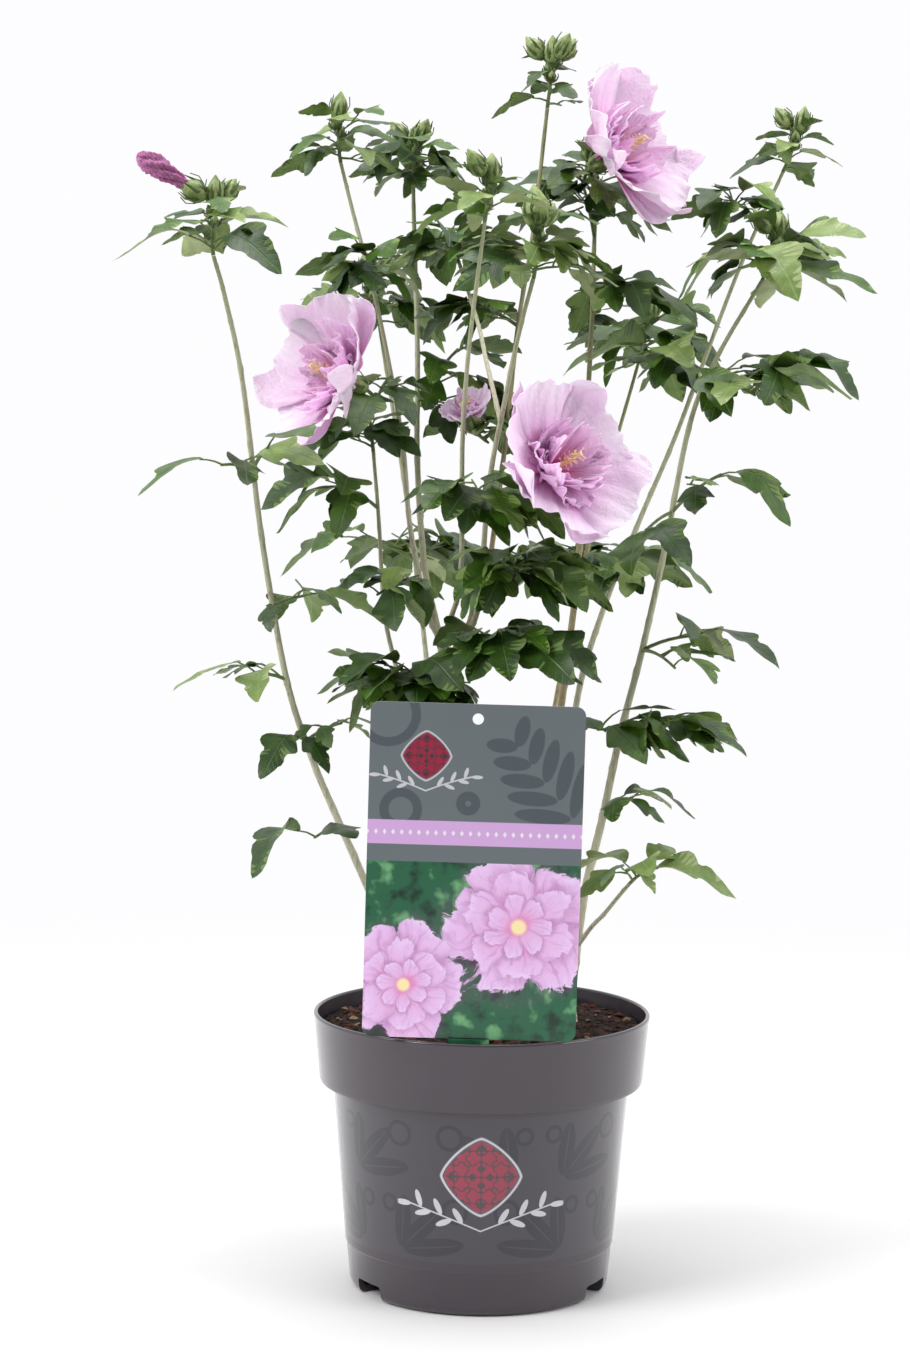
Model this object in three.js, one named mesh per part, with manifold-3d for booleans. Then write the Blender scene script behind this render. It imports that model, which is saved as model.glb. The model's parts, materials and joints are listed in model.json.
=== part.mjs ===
import * as THREE from "three";
import { mergeVertices } from "three/addons/utils/BufferGeometryUtils.js";
import Module from "manifold-3d";

const wasm = await Module();
wasm.setup();

// Frame: millimetres, +X to the right, -Y to the front, +Z up, origin under the middle of the pot
const CLEARANCE = 0.3;
const UP = new THREE.Vector3(0, 0, 1);
const GOLDEN_TURN = THREE.MathUtils.degToRad(137.5);

// Nursery pot of three litres: tapered wall, wider collar, raised line above the foot
const POT = {
  height: 156, rimRadius: 95.5, collarRadius: 92, collarDrop: 38, shoulderRadius: 84, shoulderDrop: 4,
  footRadius: 74, footHeight: 6, footRound: [5, 1.5], lineHeight: 25, lineStep: 0.7, lineRise: 1,
  wall: 1.6, floor: 4, lip: 1.2, lipRound: 1.4, sides: 40,
};
const DRAIN = { turns: [-57, 63, 183], width: 23, height: 9, below: 1, inner: 61, outer: 82 };
const SOIL = { top: 151, flatRadius: 62, edgeDrop: 3, gap: 0.4, stepHeight: 2.4, stepRise: 0.6 };
const CARD = {
  width: 115, height: 181, thickness: 0.8, corner: 5, cornerSteps: 5, holeRadius: 3, holeDrop: 8,
  centre: [-6.3, -88, 248.2], roll: -1, tongueWidth: 22, tongueLength: 33, tongueOverlap: 2,
};

// Stems and boughs: route through hand-set points, radius at the base and at the tip
const GROUND = SOIL.top + CLEARANCE;
const LIMBS = {
  stem_left: {
    base: 2.5, tip: 1.1,
    route: [[-40, -10, GROUND], [-43, -10, 165], [-56, -10, 205], [-80, -10, 260], [-97, -14, 300],
      [-112, -20, 348], [-125, -32, 425], [-135, -46, 510], [-144, -55, 554], [-150, -58, 576]],
  },
  stem_centre: {
    base: 2.8, tip: 1.1,
    route: [[-6, 6, GROUND], [-8, 6, 170], [-14, 5, 240], [-21, 5, 334], [-28, 14, 372], [-36, 28, 409],
      [-41, 58, 470], [-42, 80, 534], [-45, 105, 605], [-46, 113, 630]],
  },
  bough_left_back: {
    parent: "stem_centre", base: 1.8, tip: 1.0,
    route: [[-27, 13, 367], [-35, 14, 385], [-40, 19, 409], [-45, 26, 435], [-50, 35, 483],
      [-65, 45, 556], [-80, 56, 611], [-87, 60, 638]],
  },
  bough_right_front: {
    parent: "stem_centre", base: 2.0, tip: 1.1,
    route: [[-21, 5, 336], [-15, 1, 354], [-9, -4, 373], [-4, -12, 394], [0, -28, 455], [8, -40, 502],
      [15, -50, 538], [22, -57, 566]],
  },
  bough_front: {
    parent: "stem_centre", base: 1.8, tip: 1.0,
    route: [[-22.5, 6, 345], [-23, -1, 362], [-20, -10, 380], [-15, -26, 405], [-15, -60, 479],
      [-12, -82, 530], [-5, -108, 592]],
  },
  bough_inner: {
    parent: "bough_right_front", base: 1.4, tip: 1.0,
    route: [[6, -37, 488], [2, -24, 505], [-2, -8, 522], [-6, 8, 541], [-12, 25, 561], [-18, 41, 580]],
  },
  stem_brown: {
    base: 2.7, tip: 1.2,
    route: [[24, 16, GROUND], [26, 17, 170], [35, 22, 240], [44, 29, 331], [52, 42, 398], [56, 60, 467],
      [60, 82, 543], [62, 100, 615]],
  },
  stem_right_back: {
    base: 2.3, tip: 1.0,
    route: [[38, 30, GROUND], [39, 29, 170], [44, 24, 240], [52, 22, 329], [67, 33, 383], [86, 45, 430],
      [110, 62, 486], [146, 90, 580], [173, 106, 640]],
  },
  stem_right: {
    base: 2.8, tip: 1.1,
    route: [[50, -4, GROUND], [51, -4, 170], [57, -3, 222], [67, 0, 268], [77, 2, 317], [89, 6, 366],
      [101, 10, 424], [114, 15, 492], [129, 18, 529], [153, 20, 571]],
  },
  bough_top: {
    parent: "stem_centre", base: 1.8, tip: 1.1,
    route: [[-24, 9, 352], [-16, 13, 364], [-7, 18, 382], [0, 24, 402], [6, 32, 446], [11, 39, 491],
      [16, 42, 545], [24, 41, 598], [31, 41, 668]],
  },
  stem_thin: {
    base: 1.8, tip: 1.0,
    route: [[-26, 20, GROUND], [-28, 20, 170], [-37, 22, 250], [-48, 24, 333], [-58, 26, 378],
      [-62, 31, 430], [-66, 39, 472]],
  },
  shoot_low: {
    parent: "stem_right", base: 1.4, tip: 1.0,
    route: [[53, -3, 193], [61, -14, 207], [67, -30, 217], [74, -44, 229], [80, -52, 238]],
  },
  stem_back_left: {
    base: 2.3, tip: 1.0,
    route: [[-14, 34, GROUND], [-15, 36, 170], [-26, 58, 280], [-44, 98, 420], [-66, 140, 548]],
  },
  stem_back_right: {
    base: 2.3, tip: 1.0,
    route: [[18, 40, GROUND], [19, 42, 170], [34, 66, 280], [62, 108, 420], [92, 148, 528]],
  },
};
const FLARE = { swell: 0.55, height: 7 };
const LIMB_SIDES = 6;
const LIMB_STEPS_PER_SPAN = 1.3;
const HALVINGS = 30;

// Masses of foliage: the limb each grows from, the height on it (none means its tip), the end or
// ends of its own stem, its number of leaves and longest leaf, and its buds and bloom if any
const MASSES = [
  { name: "left_top", limb: "stem_left", ends: [[-149, -58, 604]], leaves: 8, size: 44, seed: 11,
    turn: 178, buds: 2,
    bloom: { state: "faded", throat: [-165, -62, 613], face: [-0.84, -0.2, 0.5], span: 31 } },
  { name: "left_back_top", limb: "bough_left_back", ends: [[-89, 62, 664]], leaves: 9, size: 34,
    seed: 12, turn: 170, buds: 1 },
  { name: "centre_top", limb: "stem_centre", ends: [[-45, 118, 654]], leaves: 8, size: 38, seed: 13,
    turn: -10, buds: 3 },
  { name: "front_top", limb: "bough_front", ends: [[-2, -114, 612]], leaves: 9, size: 34, seed: 14,
    turn: 200, buds: 2 },
  { name: "right_front_top", limb: "bough_right_front", ends: [[24, -61, 593]], leaves: 9, size: 40,
    seed: 15, turn: 215, buds: 3 },
  { name: "inner_top", limb: "bough_inner", ends: [[-25, 50, 598]], leaves: 10, size: 40, seed: 16,
    turn: 190 },
  { name: "top_top", limb: "bough_top", ends: [[34, 40, 694]], leaves: 6, size: 28, seed: 17,
    turn: 185, buds: 4 },
  { name: "brown_top", limb: "stem_brown", ends: [[58, 99, 646]], leaves: 8, size: 42, seed: 18,
    turn: 20, buds: 2 },
  { name: "right_back_top", limb: "stem_right_back", ends: [[184, 112, 665]], leaves: 8, size: 32,
    seed: 19, turn: 60, buds: 2 },
  { name: "right_top", limb: "stem_right", ends: [[162, 20, 596]], leaves: 8, size: 52, seed: 20,
    turn: -15, buds: 2 },
  { name: "thin_top", limb: "stem_thin", ends: [[-69, 42, 496]], leaves: 9, size: 42, seed: 21,
    turn: 0 },
  { name: "low_top", limb: "shoot_low", ends: [[88, -59, 246]], leaves: 4, size: 46, seed: 22,
    turn: -5 },
  { name: "back_left_top", limb: "stem_back_left", ends: [[-75, 150, 578]], leaves: 7, size: 48,
    seed: 23, turn: 120, buds: 2 },
  { name: "back_right_top", limb: "stem_back_right", ends: [[100, 156, 556]], leaves: 7, size: 48,
    seed: 24, turn: 60, buds: 2 },
  { name: "left_low", limb: "stem_left", at: 262, ends: [[-95, -24, 257]], leaves: 2, size: 44,
    seed: 31 },
  { name: "left_low_inner", limb: "stem_left", at: 310, ends: [[-80, -28, 322], [-106, -30, 314]],
    leaves: 4, size: 32, seed: 32 },
  { name: "left_mid", limb: "stem_left", at: 345, ends: [[-128, -30, 349]], leaves: 3, size: 42,
    seed: 33 },
  { name: "left_mid_inner", limb: "stem_left", at: 386, ends: [[-102, -22, 392]], leaves: 4,
    size: 42, seed: 34 },
  { name: "left_high", limb: "stem_left", at: 462, ends: [[-146, -52, 464], [-120, -56, 474]],
    leaves: 4, size: 46, seed: 35 },
  { name: "thin_high", limb: "stem_thin", at: 440, ends: [[-82, 18, 451]], leaves: 7, size: 44,
    seed: 37 },
  { name: "left_back_high", limb: "bough_left_back", at: 570, ends: [[-66, 34, 582]], leaves: 8,
    size: 38, seed: 39 },
  { name: "bloom_left", limb: "bough_left_back", at: 515, ends: [[-64, 4, 500]], leaves: 4, size: 36,
    seed: 40, bloom: { state: "open", throat: [-79, -10, 511], face: [-0.8, -0.5, 0.33], span: 92 } },
  { name: "centre_high", limb: "stem_centre", at: 585, ends: [[-22, 90, 596]], leaves: 8, size: 42,
    seed: 41 },
  { name: "centre_low", limb: "stem_centre", at: 322, ends: [[-44, -24, 352]], leaves: 9, size: 46,
    seed: 43 },
  { name: "centre_left", limb: "bough_left_back", at: 400, ends: [[-62, -2, 392]], leaves: 9,
    size: 44, seed: 44 },
  { name: "front_mid", limb: "bough_front", at: 440, ends: [[-2, -74, 452]], leaves: 8, size: 44,
    seed: 45 },
  { name: "right_front_low", limb: "bough_right_front", at: 398, ends: [[20, -44, 408]], leaves: 9,
    size: 46, seed: 46 },
  { name: "right_front_foot", limb: "bough_right_front", at: 362, ends: [[14, -44, 366]], leaves: 9,
    size: 46, seed: 47 },
  { name: "bloom_front", limb: "bough_right_front", at: 462, ends: [[24, -58, 452]], leaves: 5,
    size: 42, seed: 48,
    bloom: { state: "open", throat: [32, -78, 463], face: [0.6, -0.7, 0.39], span: 92 } },
  { name: "bloom_inner", limb: "stem_centre", at: 500, ends: [[0, 34, 478], [-18, 56, 532]],
    leaves: 8, size: 44, seed: 49,
    bloom: { state: "open", throat: [-11, 24, 494], face: [-0.35, -0.5, 0.8], span: 32 } },
  { name: "bloom_top", limb: "stem_brown", at: 600, ends: [[53, 74, 630]], leaves: 3, size: 34,
    seed: 50, bloom: { state: "open", throat: [67, 64, 643], face: [0.78, -0.47, 0.41], span: 98 } },
  { name: "brown_high", limb: "stem_brown", at: 560, ends: [[82, 76, 572]], leaves: 9, size: 40,
    seed: 51 },
  { name: "brown_low", limb: "stem_brown", at: 400, ends: [[80, 24, 410]], leaves: 6, size: 42,
    seed: 52 },
  { name: "top_mid", limb: "bough_top", at: 545, ends: [[-8, 44, 556]], leaves: 9, size: 40, seed: 53 },
  { name: "right_back_high", limb: "stem_right_back", at: 610, ends: [[140, 84, 622]], leaves: 6,
    size: 38, seed: 54 },
  { name: "right_back_mid", limb: "stem_right_back", at: 515, ends: [[96, 52, 530]], leaves: 7,
    size: 44, seed: 55 },
  { name: "right_high", limb: "stem_right", at: 515, ends: [[148, -6, 506]], leaves: 6, size: 54,
    seed: 56 },
  { name: "right_mid", limb: "stem_right", at: 440, ends: [[129, -14, 462], [82, -20, 424]],
    leaves: 5, size: 44, seed: 57 },
  { name: "right_low", limb: "stem_right", at: 362, ends: [[119, -12, 372], [104, -32, 355]],
    leaves: 4, size: 42, seed: 59 },
  { name: "right_foot", limb: "stem_right", at: 312, ends: [[102, -22, 322], [62, -28, 320]],
    leaves: 5, size: 42, seed: 60 },
  { name: "back_left_low", limb: "stem_back_left", at: 408, ends: [[-74, 102, 420], [-32, 134, 412]],
    leaves: 8, size: 46, seed: 62 },
  { name: "back_right_low", limb: "stem_back_right", at: 400, ends: [[90, 112, 410], [48, 138, 404]],
    leaves: 8, size: 46, seed: 63 },
  { name: "right_base", limb: "stem_right", at: 272, ends: [[82, -27, 281]], leaves: 4, size: 36,
    seed: 61 },
];

// Leaf outline on one side of the midrib: fraction of the length, fraction of the length sideways.
// Roll, droop and fold are drawn from a least value and a range, and a leaf that has no room is turned
// aside by growing steps
const LEAF = {
  base: [0.03, 0.035], lobe: [0.44, 0.335], shoulder: [0.65, 0.205], heart: 0.42,
  thickness: 0.032, petiole: 0.3, bend: 0.5, rootRadius: 0.5, ridge: 1.2,
  roll: [-0.5, 1], droop: [0.12, 0.34], fold: [-0.2, 0.55],
  spacing: 0.115, crowding: 0.6, tries: 7, turnAside: 0.42, shrink: 0.93,
};
const LEAF_BEADS = [[0.2, 0], [0.4, 0], [0.6, 0], [0.8, 0], [1, 0], [0.34, 0.17], [0.34, -0.17],
  [0.5, 0.3], [0.5, -0.3], [0.66, 0.12], [0.66, -0.12]];
const TWIG = { base: 1.3, tip: 1, sides: 3, step: 22, arch: 0.12, lean: 0.45, straight: 6, beadStep: 6 };
// Where the leaves sit on an upright head and on a side shoot, and how their size and rise change along it
const HEAD = { first: 0.25, span: 0.7, low: -0.45, rise: 0.75, stray: 0.3, longest: 1.12, taper: 0.6 };
const SHOOT = { last: 0.95, span: 0.62, yaw: [0.75, 0.5], elevation: [-0.38, 0.5], taper: 0.45 };
// Bloom: petal edge as fractions of the half span at four places round each petal, with its waves
const COROLLA = {
  petals: 5, edge: [0.8, 1.0, 0.93, 1.0], wave: [-0.1, 0.07, -0.03, 0.04], middle: 0.52, hollow: 0.1,
  thickness: 1.2, rise: 0.46, turn: 0.35, innerWave: 0.4,
};
const INNER_CROWN = { start: -2, length: 0.2, radius: 0.17, widest: 0.72, sides: 7 };
const COLUMN = { length: 0.28, radius: 2.6, widest: 0.6, sides: 5 };
const CALYX = { length: 13, inside: 3, radius: 6, widest: 0.5, sides: 5, stalkRadius: 1.4 };
const FADED = { radius: 0.19, widest: 0.62, sides: 6 };
const BUD = {
  length: 15, radius: 4.6, widest: 0.42, foot: 0.12, sides: 5, stalk: 9, stalkRadius: 0.9,
  upright: 0.15, leaning: 0.85, sideFoot: 0.9,
};
// Spacing and reach of the beads that keep each part's space
const BEADS = {
  limbStep: 5, limbMargin: 0.8, cardStep: 11.5, cardReach: 7, twigReach: 2, bloomReach: 5, budReach: 5,
  rings: 4, openReach: 0.5, fadedReach: 0.7,
};

const COLOURS = {
  pot: [0x69646a, 0.55], soil: [0x35251f, 0.95], card: [0x5e6467, 0.4],
  bark: [0x8f866c, 0.7], foliage: [0x2f4a22, 0.5], bloom: [0xe0a9dc, 0.6],
};

const SERIES = { perSeed: 7919, start: 17, factor: 48271, modulus: 2147483647 };
// A direction is steep where its upright share is more than this
const STEEP = 0.75;

const vector = (point) => new THREE.Vector3(...point);

// A repeatable run of numbers from 0 to 1
function seeded(seed) {
  let state = seed * SERIES.perSeed + SERIES.start;
  return () => {
    state = (state * SERIES.factor) % SERIES.modulus;
    return state / SERIES.modulus;
  };
}

// A closed shell is a list of points and a list of triangles that index it
function solidOf(points, triangles) {
  const mesh = new wasm.Mesh({
    numProp: 3,
    vertProperties: new Float32Array(points.flatMap((p) => [p.x, p.y, p.z])),
    triVerts: new Uint32Array(triangles.flat()),
  });
  return new wasm.Manifold(mesh);
}

function solidOfGeometry(geometry) {
  geometry.deleteAttribute("normal");
  geometry.deleteAttribute("uv");
  const merged = mergeVertices(geometry, 1e-4);
  const places = merged.getAttribute("position");
  const index = merged.getIndex().array;
  const points = [];
  for (let i = 0; i < places.count; i++) points.push(new THREE.Vector3().fromBufferAttribute(places, i));
  const triangles = [];
  for (let i = 0; i < index.length; i += 3) {
    const [a, b, c] = [index[i], index[i + 1], index[i + 2]];
    if (a !== b && b !== c && c !== a) triangles.push([a, b, c]);
  }
  return solidOf(points, triangles);
}

// Joining can seal a small hollow and cutting can leave a loose scrap: the one is filled, the other
// dropped, as only the shell that holds the most is kept
function outerShell(solid) {
  const { vertProperties, triVerts } = solid.getMesh();
  const count = vertProperties.length / 3;
  const point = (i) => new THREE.Vector3().fromArray(vertProperties, i * 3);
  const group = Array.from({ length: count }, (_, i) => i);
  const find = (i) => {
    while (group[i] !== i) i = group[i] = group[group[i]];
    return i;
  };
  for (let t = 0; t < triVerts.length; t += 3) {
    group[find(triVerts[t])] = find(triVerts[t + 1]);
    group[find(triVerts[t + 1])] = find(triVerts[t + 2]);
  }
  const volumes = new Map();
  for (let t = 0; t < triVerts.length; t += 3) {
    const [a, b, c] = [point(triVerts[t]), point(triVerts[t + 1]), point(triVerts[t + 2])];
    const shell = find(triVerts[t]);
    volumes.set(shell, (volumes.get(shell) ?? 0) + a.dot(b.cross(c)) / 6);
  }
  const largest = [...volumes].reduce((best, entry) => (entry[1] > best[1] ? entry : best))[0];
  const triangles = [];
  for (let t = 0; t < triVerts.length; t += 3) {
    if (find(triVerts[t]) === largest) triangles.push([triVerts[t], triVerts[t + 1], triVerts[t + 2]]);
  }
  const used = [...new Set(triangles.flat())];
  const renumbered = new Map(used.map((old, i) => [old, i]));
  return solidOf(used.map(point), triangles.map((triangle) => triangle.map((i) => renumbered.get(i))));
}

function namedMesh(name, solid, finish) {
  const { numProp, vertProperties, triVerts } = solid.getMesh();
  const places = new Float32Array((vertProperties.length / numProp) * 3);
  for (let i = 0; i < places.length / 3; i++) {
    for (let k = 0; k < 3; k++) places[i * 3 + k] = vertProperties[i * numProp + k];
  }
  const geometry = new THREE.BufferGeometry();
  geometry.setAttribute("position", new THREE.BufferAttribute(places, 3));
  geometry.setIndex(new THREE.BufferAttribute(new Uint32Array(triVerts), 1));
  geometry.computeVertexNormals();
  const [color, roughness] = COLOURS[finish];
  const mesh = new THREE.Mesh(geometry, new THREE.MeshStandardMaterial({ color, roughness, metalness: 0 }));
  mesh.name = name;
  return mesh;
}

// Turned about the upright axis from a closed profile of radius and height
function turned(profile) {
  const outline = profile.map(([radius, height]) => new THREE.Vector2(radius, height));
  const geometry = new THREE.LatheGeometry(outline, POT.sides);
  geometry.rotateX(Math.PI / 2);
  return solidOfGeometry(geometry);
}

function block(width, depth, height, place) {
  const geometry = new THREE.BoxGeometry(width, depth, height);
  geometry.applyMatrix4(place);
  return solidOfGeometry(geometry);
}

const LEDGE = POT.height - POT.collarDrop;

function innerRadius(height) {
  const low = POT.footRadius - POT.wall;
  const shoulder = POT.shoulderRadius - POT.wall;
  const collar = POT.collarRadius - POT.wall;
  if (height < LEDGE - POT.wall) {
    return low + ((shoulder - low) * (height - POT.floor)) / (LEDGE - POT.wall - POT.floor);
  }
  const top = POT.rimRadius - POT.wall - POT.lip;
  return collar + ((top - collar) * (height - LEDGE)) / POT.collarDrop;
}

// The outside from the foot up, then the rolled lip
function outerProfile() {
  const { height, rimRadius, collarRadius, shoulderRadius, shoulderDrop, footRadius, footHeight } = POT;
  const { footRound, lineHeight, lineStep, lineRise, lip, lipRound, wall } = POT;
  const slope = (shoulderRadius - footRadius) / (LEDGE - shoulderDrop - footHeight);
  const lineRadius = footRadius + slope * (lineHeight - footHeight);
  return [
    [0, 0], [footRadius - footRound[0], 0], [footRadius - footRound[1], wall], [footRadius, footHeight],
    [lineRadius, lineHeight], [lineRadius + lineStep, lineHeight + lineRise],
    [shoulderRadius, LEDGE - shoulderDrop], [collarRadius - wall / 2, LEDGE - wall / 2],
    [collarRadius, LEDGE + wall / 2], [rimRadius - lip / 4, height - 2 * lip],
    [rimRadius, height - lipRound], [rimRadius - lip, height], [rimRadius - 2 * lip, height - lip / 2],
  ];
}

// The inside from under the lip down to the floor
function innerProfile() {
  const { shoulderRadius, shoulderDrop, wall, floor } = POT;
  const ledge = innerRadius(LEDGE + wall);
  return [
    [ledge, LEDGE + wall], [ledge - wall / 2, LEDGE],
    [shoulderRadius - wall, LEDGE - shoulderDrop + wall / 2],
    [innerRadius(floor), floor], [0, floor],
  ];
}

function potSolid() {
  let pot = turned([...outerProfile(), ...innerProfile()]);
  for (const turn of DRAIN.turns) {
    const place = new THREE.Matrix4().makeRotationZ(THREE.MathUtils.degToRad(turn));
    const reach = (DRAIN.inner + DRAIN.outer) / 2;
    place.multiply(new THREE.Matrix4().makeTranslation(0, -reach, DRAIN.height / 2 - DRAIN.below));
    const notch = block(DRAIN.width, DRAIN.outer - DRAIN.inner, DRAIN.height + 2 * DRAIN.below, place);
    pot = pot.subtract(notch);
  }
  return pot;
}

function soilSolid() {
  const { top, flatRadius, edgeDrop, gap, stepHeight, stepRise } = SOIL;
  const rim = top - edgeDrop;
  const neck = LEDGE - POT.wall - POT.shoulderDrop;
  const step = LEDGE + stepHeight;
  const body = turned([
    [0, POT.floor + gap], [innerRadius(POT.floor) - 2 * gap, POT.floor + gap],
    [innerRadius(neck) - gap, neck], [innerRadius(neck) - gap, step],
    [innerRadius(step) - gap, step + stepRise],
    [innerRadius(rim) - gap, rim], [flatRadius, top], [0, top],
  ]);
  return body.subtract(tongueSolid(CLEARANCE));
}

function cardPlace() {
  const place = new THREE.Matrix4().makeTranslation(...CARD.centre);
  return place.multiply(new THREE.Matrix4().makeRotationY(THREE.MathUtils.degToRad(-CARD.roll)));
}

function tongueSolid(margin) {
  const { tongueWidth, tongueLength, tongueOverlap, thickness, height } = CARD;
  const middle = -height / 2 - tongueLength / 2 + tongueOverlap / 2;
  const place = cardPlace().multiply(new THREE.Matrix4().makeTranslation(0, 0, middle));
  const length = tongueLength + tongueOverlap;
  return block(tongueWidth + 2 * margin, thickness + 2 * margin, length + 2 * margin, place);
}

function cardSolid() {
  const { width, height, thickness, corner, holeRadius, holeDrop } = CARD;
  const [w, h] = [width / 2, height / 2];
  const outline = new THREE.Shape();
  outline.moveTo(-w + corner, -h);
  outline.lineTo(w - corner, -h);
  outline.absarc(w - corner, -h + corner, corner, -Math.PI / 2, 0);
  outline.absarc(w - corner, h - corner, corner, 0, Math.PI / 2);
  outline.absarc(-w + corner, h - corner, corner, Math.PI / 2, Math.PI);
  outline.absarc(-w + corner, -h + corner, corner, Math.PI, 1.5 * Math.PI);
  const hole = new THREE.Path();
  hole.absarc(0, h - holeDrop, holeRadius, 0, 2 * Math.PI, true);
  outline.holes.push(hole);
  const settings = { depth: thickness, bevelEnabled: false, curveSegments: CARD.cornerSteps };
  const geometry = new THREE.ExtrudeGeometry(outline, settings);
  geometry.translate(0, 0, -thickness / 2);
  geometry.rotateX(Math.PI / 2);
  geometry.applyMatrix4(cardPlace());
  return solidOfGeometry(geometry).add(tongueSolid(0));
}

// The upper half of the card, which the leaves come near
function cardBeads() {
  const [x, y, z] = CARD.centre;
  const points = [];
  for (let across = -CARD.width / 2; across <= CARD.width / 2; across += BEADS.cardStep) {
    for (let above = 0; above <= CARD.height / 2; above += BEADS.cardStep) {
      points.push(new THREE.Vector3(x + across, y, z + above));
    }
  }
  return points;
}

// Two directions square to a third, the first near UP unless that one is steep itself
function crossDirections(along, steep = Math.abs(along.z) > STEEP) {
  const reference = steep ? new THREE.Vector3(1, 0, 0) : UP;
  const across = reference.clone().addScaledVector(along, -reference.dot(along)).normalize();
  return [across, along.clone().cross(across)];
}

function ring(centre, [across, third], radius, sides) {
  return Array.from({ length: sides }, (_, j) => {
    const angle = (2 * Math.PI * j) / sides;
    return centre.clone().addScaledVector(across, radius * Math.cos(angle))
      .addScaledVector(third, radius * Math.sin(angle));
  });
}

// A tapering tube along a curve; its first ring may be laid level, as a cut at the ground
function tube(curve, steps, sides, radiusAt, levelFoot = false) {
  const points = [];
  const steep = Math.abs(curve.getTangent(0).z) > STEEP;
  for (let i = 0; i <= steps; i++) {
    const t = i / steps;
    const centre = curve.getPoint(t);
    const along = i === 0 && levelFoot ? UP.clone() : curve.getTangent(t);
    points.push(...ring(centre, crossDirections(along, steep), radiusAt(t, centre), sides));
  }
  const triangles = [];
  for (let i = 0; i < steps; i++) {
    for (let j = 0; j < sides; j++) {
      const [a, b] = [i * sides + j, i * sides + ((j + 1) % sides)];
      triangles.push([a, b, b + sides], [a, b + sides, a + sides]);
    }
  }
  const last = steps * sides;
  for (let j = 1; j < sides - 1; j++) triangles.push([0, j + 1, j], [last, last + j, last + j + 1]);
  return solidOf(points, triangles);
}

function routeCurve(route) {
  return new THREE.CatmullRomCurve3(route.map(vector), false, "catmullrom", 0.5);
}

class Limb {
  constructor(name, { route, base, tip, parent }) {
    Object.assign(this, { name, base, tip, parent });
    this.curve = routeCurve(route);
    this.steps = Math.round((route.length - 1) * LIMB_STEPS_PER_SPAN);
  }

  radiusAt(t, centre, margin = 0) {
    const taper = this.base + (this.tip - this.base) * t;
    const flare = this.parent ? 0 : FLARE.swell * Math.exp(-(centre.z - GROUND) / FLARE.height);
    return taper * (1 + flare) + margin;
  }

  solid(margin = 0) {
    return tube(this.curve, this.steps, LIMB_SIDES, (t, c) => this.radiusAt(t, c, margin), !this.parent);
  }

  // Where the limb passes a height, found by halving
  atHeight(height) {
    let [low, high] = [0, 1];
    for (let i = 0; i < HALVINGS; i++) {
      const t = (low + high) / 2;
      if (this.curve.getPoint(t).z < height) low = t;
      else high = t;
    }
    return this.curve.getPoint((low + high) / 2);
  }
}

// Every limb, twig, leaf and bloom marks the space that it keeps with beads: a point and a reach
const keptSpace = [];

function keep(points, reach, owner) {
  for (const point of points) keptSpace.push({ point, reach, owner });
}

function isFree(points, reach, owner) {
  for (const point of points) {
    if (point.z < SOIL.top + reach) return false;
    for (const bead of keptSpace) {
      const share = bead.owner === owner ? LEAF.crowding : 1;
      if (bead.point.distanceTo(point) < (bead.reach + reach) * share) return false;
    }
  }
  return true;
}

function beadsAlong(curve, step) {
  const count = Math.ceil(curve.getLength() / step);
  return Array.from({ length: count + 1 }, (_, i) => curve.getPoint(i / count));
}

function heading(azimuth, elevation) {
  const level = Math.cos(elevation);
  return new THREE.Vector3(level * Math.cos(azimuth), level * Math.sin(azimuth), Math.sin(elevation));
}

// A leaf: its petiole is a three-sided tube whose root lies inside the twig, its blade bends down from
// it, has a lobe on each side, droops along its length and is raised or lowered across it
function leafFrame(root, azimuth, elevation, roll, size, droop, fold) {
  const along = heading(azimuth, elevation);
  const level = UP.clone().cross(along).normalize();
  const above = along.clone().cross(level);
  const side = level.clone().multiplyScalar(Math.cos(roll)).addScaledVector(above, Math.sin(roll));
  const normal = along.clone().cross(side);
  const base = root.clone().addScaledVector(heading(azimuth, elevation + LEAF.bend), LEAF.petiole * size);
  return { root, base, along, side, normal, size, droop, fold };
}

function onLeaf(leaf, u, v) {
  const lift = leaf.fold * Math.abs(v) - leaf.droop * u * u;
  return leaf.base.clone().addScaledVector(leaf.along, u * leaf.size)
    .addScaledVector(leaf.side, v * leaf.size).addScaledVector(leaf.normal, lift * leaf.size);
}

function leafBeads(leaf) {
  return LEAF_BEADS.map(([u, v]) => onLeaf(leaf, u, v));
}

function leafSolid(leaf) {
  const { base, lobe, shoulder, heart, thickness, rootRadius, ridge } = LEAF;
  const half = (thickness * leaf.size) / 2;
  const corner = (centre, radius) => [
    centre.clone().addScaledVector(leaf.side, -radius),
    centre.clone().addScaledVector(leaf.normal, radius * ridge),
    centre.clone().addScaledVector(leaf.side, radius),
  ];
  const neck = corner(onLeaf(leaf, base[0], 0), base[1] * leaf.size);
  const points = [
    ...corner(leaf.root, rootRadius), ...neck,
    onLeaf(leaf, lobe[0], -lobe[1]), onLeaf(leaf, shoulder[0], -shoulder[1]), onLeaf(leaf, 1, 0),
    onLeaf(leaf, shoulder[0], shoulder[1]), onLeaf(leaf, lobe[0], lobe[1]),
    onLeaf(leaf, heart, 0).addScaledVector(leaf.normal, half),
    onLeaf(leaf, heart, 0).addScaledVector(leaf.normal, -half),
  ];
  const triangles = [[0, 1, 2]];
  for (const [a, b] of [[0, 1], [1, 2], [2, 0]]) triangles.push([a, a + 3, b], [a + 3, b + 3, b]);
  const rim = [3, 6, 7, 8, 9, 10, 5];
  const [top, bottom] = [11, 12];
  for (let i = 0; i < rim.length; i++) {
    const next = rim[(i + 1) % rim.length];
    triangles.push([next, rim[i], bottom]);
    if (i < rim.length - 1) triangles.push([rim[i], next, top]);
  }
  triangles.push([5, 4, top], [4, 3, top]);
  return solidOf(points, triangles);
}

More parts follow.
